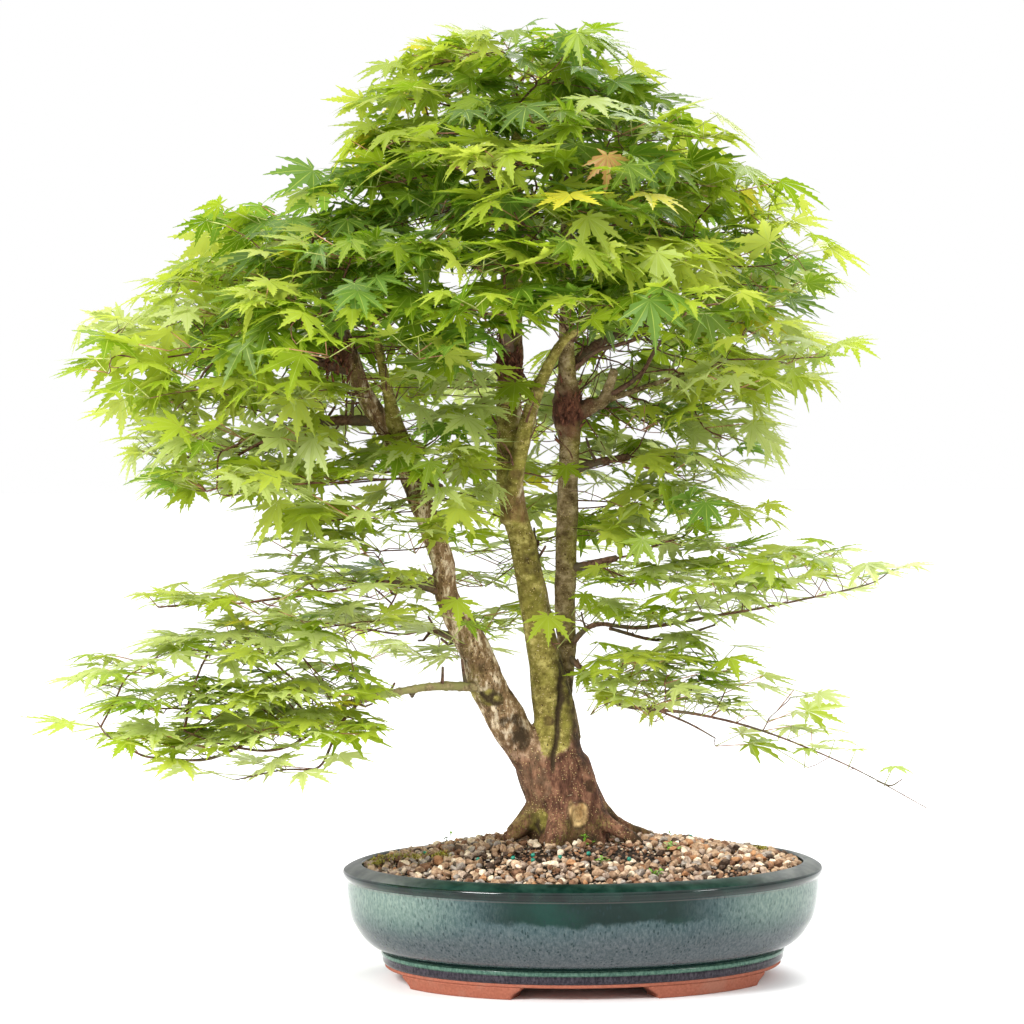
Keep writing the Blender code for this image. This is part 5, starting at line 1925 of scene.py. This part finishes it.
class Leafing:
    """Leaves and stalks gathered for their pieces."""

    def __init__(self, rng):
        self.rng = rng
        self.near = [leaf_shape(rng, TEETH_NEAR) for _ in range(NEAR_SHAPES)]
        self.inner = [leaf_shape(rng, TEETH_INNER) for _ in range(INNER_SHAPES)]
        self.heaps = {group: Heap() for group in FOLIAGE}
        self.stalks = Heap()

    def clothe(self, line, most_pairs=3):
        """Opposite leaves along the last stretch of a shoot."""
        rng = self.rng
        tint = spray_tint(rng, line[-1])
        walked = 0.0
        due = 0.0
        pair = 0
        for k in range(len(line) - 1, 0, -1):
            if walked >= due:
                heading = unit(line[k] - line[k - 1])
                spread = END_SPREAD if pair == 0 else SIDE_SPREAD
                turns = [spread, -spread]
                if pair == 0 and rng.random() < 0.5:
                    turns.append(0.0)
                for turn in turns:
                    if pair == 0 or rng.random() < KEPT_LEAVES:
                        self.add(line[k], heading, turn, tint)
                pair += 1
                due += rng.uniform(*PAIR_GAP)
                if pair == most_pairs:
                    break
            walked += float(np.linalg.norm(line[k] - line[k - 1]))

    def place(self, shape, base, forward, right, size, tint, home):
        """Lays a leaf's shape at its base and puts it in the heap of its mass."""
        places, faces, veins = shape
        turn = np.stack([right, forward, np.cross(right, forward)])
        self.heaps[GROUP_OF[home]].add(places @ turn * size + base, faces, np.where(veins, VEIN, tint))

    def add_lone(self, base, angle, droop, length, tint):
        """A named leaf, on a stalk that comes from behind and below it."""
        base = np.array(base)
        forward = tilted_down(level_way(angle), math.radians(droop))
        shape = self.near[int(abs(base[0]) * 1000) % len(self.near)]
        home = CROWN.depth(base)[1] or "low_right_tip"
        self.place(shape, base, forward, unit(np.cross(forward, (0, 0, 1))), length, tint, home)
        self.stalks.add_tube(3, (stalk_foot(base, angle), 0.0007), (base, 0.0005))

    def add(self, node, heading, turn, tint):
        """One leaf on its stalk, if there is a place for it in the masses."""
        rng = self.rng
        size = LEAF_LENGTH * float(np.clip(rng.normal(1.0, LEAF_SPREAD), *LEAF_SIZES))
        way = unit(unit(heading * (1, 1, 0)) + LEAF_OUTWARD * way_out(node))
        low = node[2] < LOW_BELOW
        slack = LOW_SLACK if low else OUTLINE_SLACK
        hanging = not low and rng.random() < HANGING_SHARE
        droops = HANGING_DROOP if hanging else LOW_DROOP if low else LEVEL_DROOP
        for _ in range(LEAF_TRIES):
            aim = turned(way, turn + rng.normal(0, LEAF_TURN))
            rise = rng.uniform(*PETIOLE_RISE)
            length = PETIOLE * rng.uniform(*PETIOLE_SIZES)
            base = node + unit(aim + (0, 0, rise)) * length
            forward = tilted_down(aim, math.radians(rng.uniform(*droops)))
            depth, home = CROWN.depth(base + forward * size * 0.9)
            inside = depth > -slack and CROWN.depth(base)[0] > -slack and domed(base, DOME_ROOM)
            if inside and not opened(base + forward * size * 0.6):
                break
            size *= LEAF_SHRINK
        else:
            return
        roll = rng.normal(0, LOW_ROLL if low else LEAF_ROLL)
        across = unit(np.cross(forward, (0, 0, 1)))
        right = across * math.cos(roll) + np.cross(across, forward) * math.sin(roll)
        shapes = self.near if in_shell(base) else self.inner
        shape = shapes[rng.integers(len(shapes))]
        self.place(shape, base, forward, right, size, leaf_tint(rng, tint), home)
        self.stalks.add_tube(3, (node, 0.00062), (base, 0.00050), slot=int(rng.random() < RED_STALKS))


def grown_twigs(rng, routes):
    """The twigs' lines, each with its radii, grown from the limbs to fill the masses."""
    seeds = []
    for name, route in routes.items():
        bare = BARE_TRUNK.get(name, 0.0)
        seeds += [row[:3] for row in route[::3] if row[2] > bare]
    lone_feet = [stalk_foot(leaf[0], leaf[1]) for leaf in LONE_LEAVES]
    targets = np.vstack([shoot_targets(rng), lone_feet])
    nodes, parents = grow(seeds, targets, rng)
    radii = twig_radii(nodes, parents, len(seeds))
    lines = []
    for chain in twig_chains(parents, radii, len(seeds)):
        chain_radii = radii[chain]
        chain_radii[0] = chain_radii[1]
        lines.append((nodes[chain], chain_radii))
    return lines


def make_crown(routes):
    """Twigs and the leaves on them, then the single leaves and the bare twigs."""
    rng = np.random.default_rng(21)
    lines = grown_twigs(rng, routes)
    twigs = Heap()
    leafing = Leafing(rng)
    for line, radii in lines:
        twigs.add(*tube(np.column_stack([line, radii]), 5 if radii[0] > 0.0011 else 4))
        leafing.clothe(line)
    for name, pairs in LEAFY_BRANCHES.items():
        leafing.clothe(routes[name][::3, :3], pairs)
    for leaf in LONE_LEAVES:
        leafing.add_lone(*leaf)
    add_bare_twigs(rng, routes, twigs)
    twig_skin = plain_skin("twig_bark", (0.070, 0.026, 0.015), (0.230, 0.110, 0.062), 0.7, 240.0)
    new_piece("twigs", twigs, [twig_skin])
    stalk_skins = [
        plain_skin("stalk_green", (0.300, 0.340, 0.080), (0.520, 0.560, 0.190)),
        plain_skin("stalk_red", (0.330, 0.130, 0.070), (0.560, 0.300, 0.170)),
    ]
    new_piece("leaf_stalks", leafing.stalks, stalk_skins)
    skins = [leaf_skin(*tint) for tint in TINTS]
    skins.append(leaf_skin("leaf_vein", (0.330, 0.420, 0.060), (0.560, 0.660, 0.120)))
    for group, heap in leafing.heaps.items():
        new_piece(group, heap, skins, ["leaves_" + name for name in FOLIAGE[group]])


# -------------------------------------------------------- stage and camera

CAMERA_YAW_DEG = 6.663  # to the right of +Y
CAMERA_PITCH_DEG = 0.833  # down
CAMERA_ROLL_DEG = 0.221
CAMERA_LENS = 106.07
WORLD_LEVEL = 0.86
WORLD_TOWARDS = (-0.20, 0.10, 0.98)  # the world's light grows this way by its length
WORLD_LEAST = 0.3
FLOOR_RADIUS = 60.0
LAMPS_AIM = (0.0, 0.0, 0.45)
LAMPS = [  # name, place, side, watts
    ("key", (-2.3, -2.1, 2.3), 1.0, 150),
    ("fill", (2.3, -1.9, 1.5), 0.5, 22),
    ("top_back", (1.2, 1.9, 2.6), 1.4, 60),
]


def make_camera():
    """A long lens in front of the pot, a little to its left."""
    data = bpy.data.cameras.new("camera")
    data.lens = CAMERA_LENS
    data.sensor_width = 36.0
    obj = linked("camera", data)
    yaw, pitch, roll = (math.radians(a) for a in (CAMERA_YAW_DEG, CAMERA_PITCH_DEG, CAMERA_ROLL_DEG))
    look = Vector((math.sin(yaw) * math.cos(pitch), math.cos(yaw) * math.cos(pitch), -math.sin(pitch)))
    right = Vector((math.cos(yaw), -math.sin(yaw), 0.0))
    up = right.cross(look)
    right_rolled = right * math.cos(roll) - up * math.sin(roll)
    up_rolled = up * math.cos(roll) + right * math.sin(roll)
    turn = Matrix((right_rolled, up_rolled, -look)).transposed()
    obj.matrix_world = Matrix.Translation(CAMERA_PLACE + POT) @ turn.to_4x4()
    bpy.context.scene.camera = obj


def make_light(name, place, size, power):
    """A square lamp that faces the crown."""
    data = bpy.data.lights.new(name, "AREA")
    data.size = size
    data.energy = power
    obj = linked(name, data)
    obj.location = Vector(place)
    obj.rotation_euler = (Vector(place) - Vector(LAMPS_AIM)).to_track_quat("Z", "Y").to_euler()


def make_world():
    """White to the camera; as light it is brighter above and to the left."""
    world = bpy.data.worlds.new("studio")
    bpy.context.scene.world = world
    world.use_nodes = True
    n = Nodes(world.node_tree)
    n.tree.nodes.clear()
    way = n.node("ShaderNodeTexCoord").outputs["Generated"]
    towards = n.node("ShaderNodeVectorMath", {0: way, 1: WORLD_TOWARDS}, operation="DOT_PRODUCT")
    level = n.maths("MAXIMUM", n.plus(towards.outputs["Value"], WORLD_LEVEL), WORLD_LEAST)
    lamp = n.node("ShaderNodeBackground", {"Color": (1, 1, 1), "Strength": level})
    backdrop = n.node("ShaderNodeBackground", {"Color": (1, 1, 1)})
    seen = n.node("ShaderNodeLightPath").outputs["Is Camera Ray"]
    both = n.mixed(seen, lamp.outputs["Background"], backdrop.outputs["Background"])
    n.node("ShaderNodeOutputWorld", {"Surface": both})


def make_stage():
    """The white surroundings, a plain pale floor and the lamps."""
    make_world()
    bm = bmesh.new()
    bmesh.ops.create_circle(bm, cap_ends=True, segments=96, radius=FLOOR_RADIUS)
    floor = linked("floor", mesh_of("floor", bm))
    f = Finish("floor_white", 0.6, 0.2)
    f.put("Base Color", f.ramp(f.noise(3.0), (0.3, (0.84, 0.84, 0.84)), (0.7, (0.86, 0.86, 0.86))))
    floor.data.materials.append(f.material)
    for lamp in LAMPS:
        make_light(*lamp)
    bpy.context.scene.view_settings.view_transform = "Standard"


# --------------------------------------------------------------------- build

make_pot()
make_soil_bed()
make_gravel()
make_ground_cover()
limb_lines = limb_routes()
make_trunks()
make_boughs(limb_lines)
make_burl_buds()
make_crown(limb_lines)
make_stage()
make_camera()
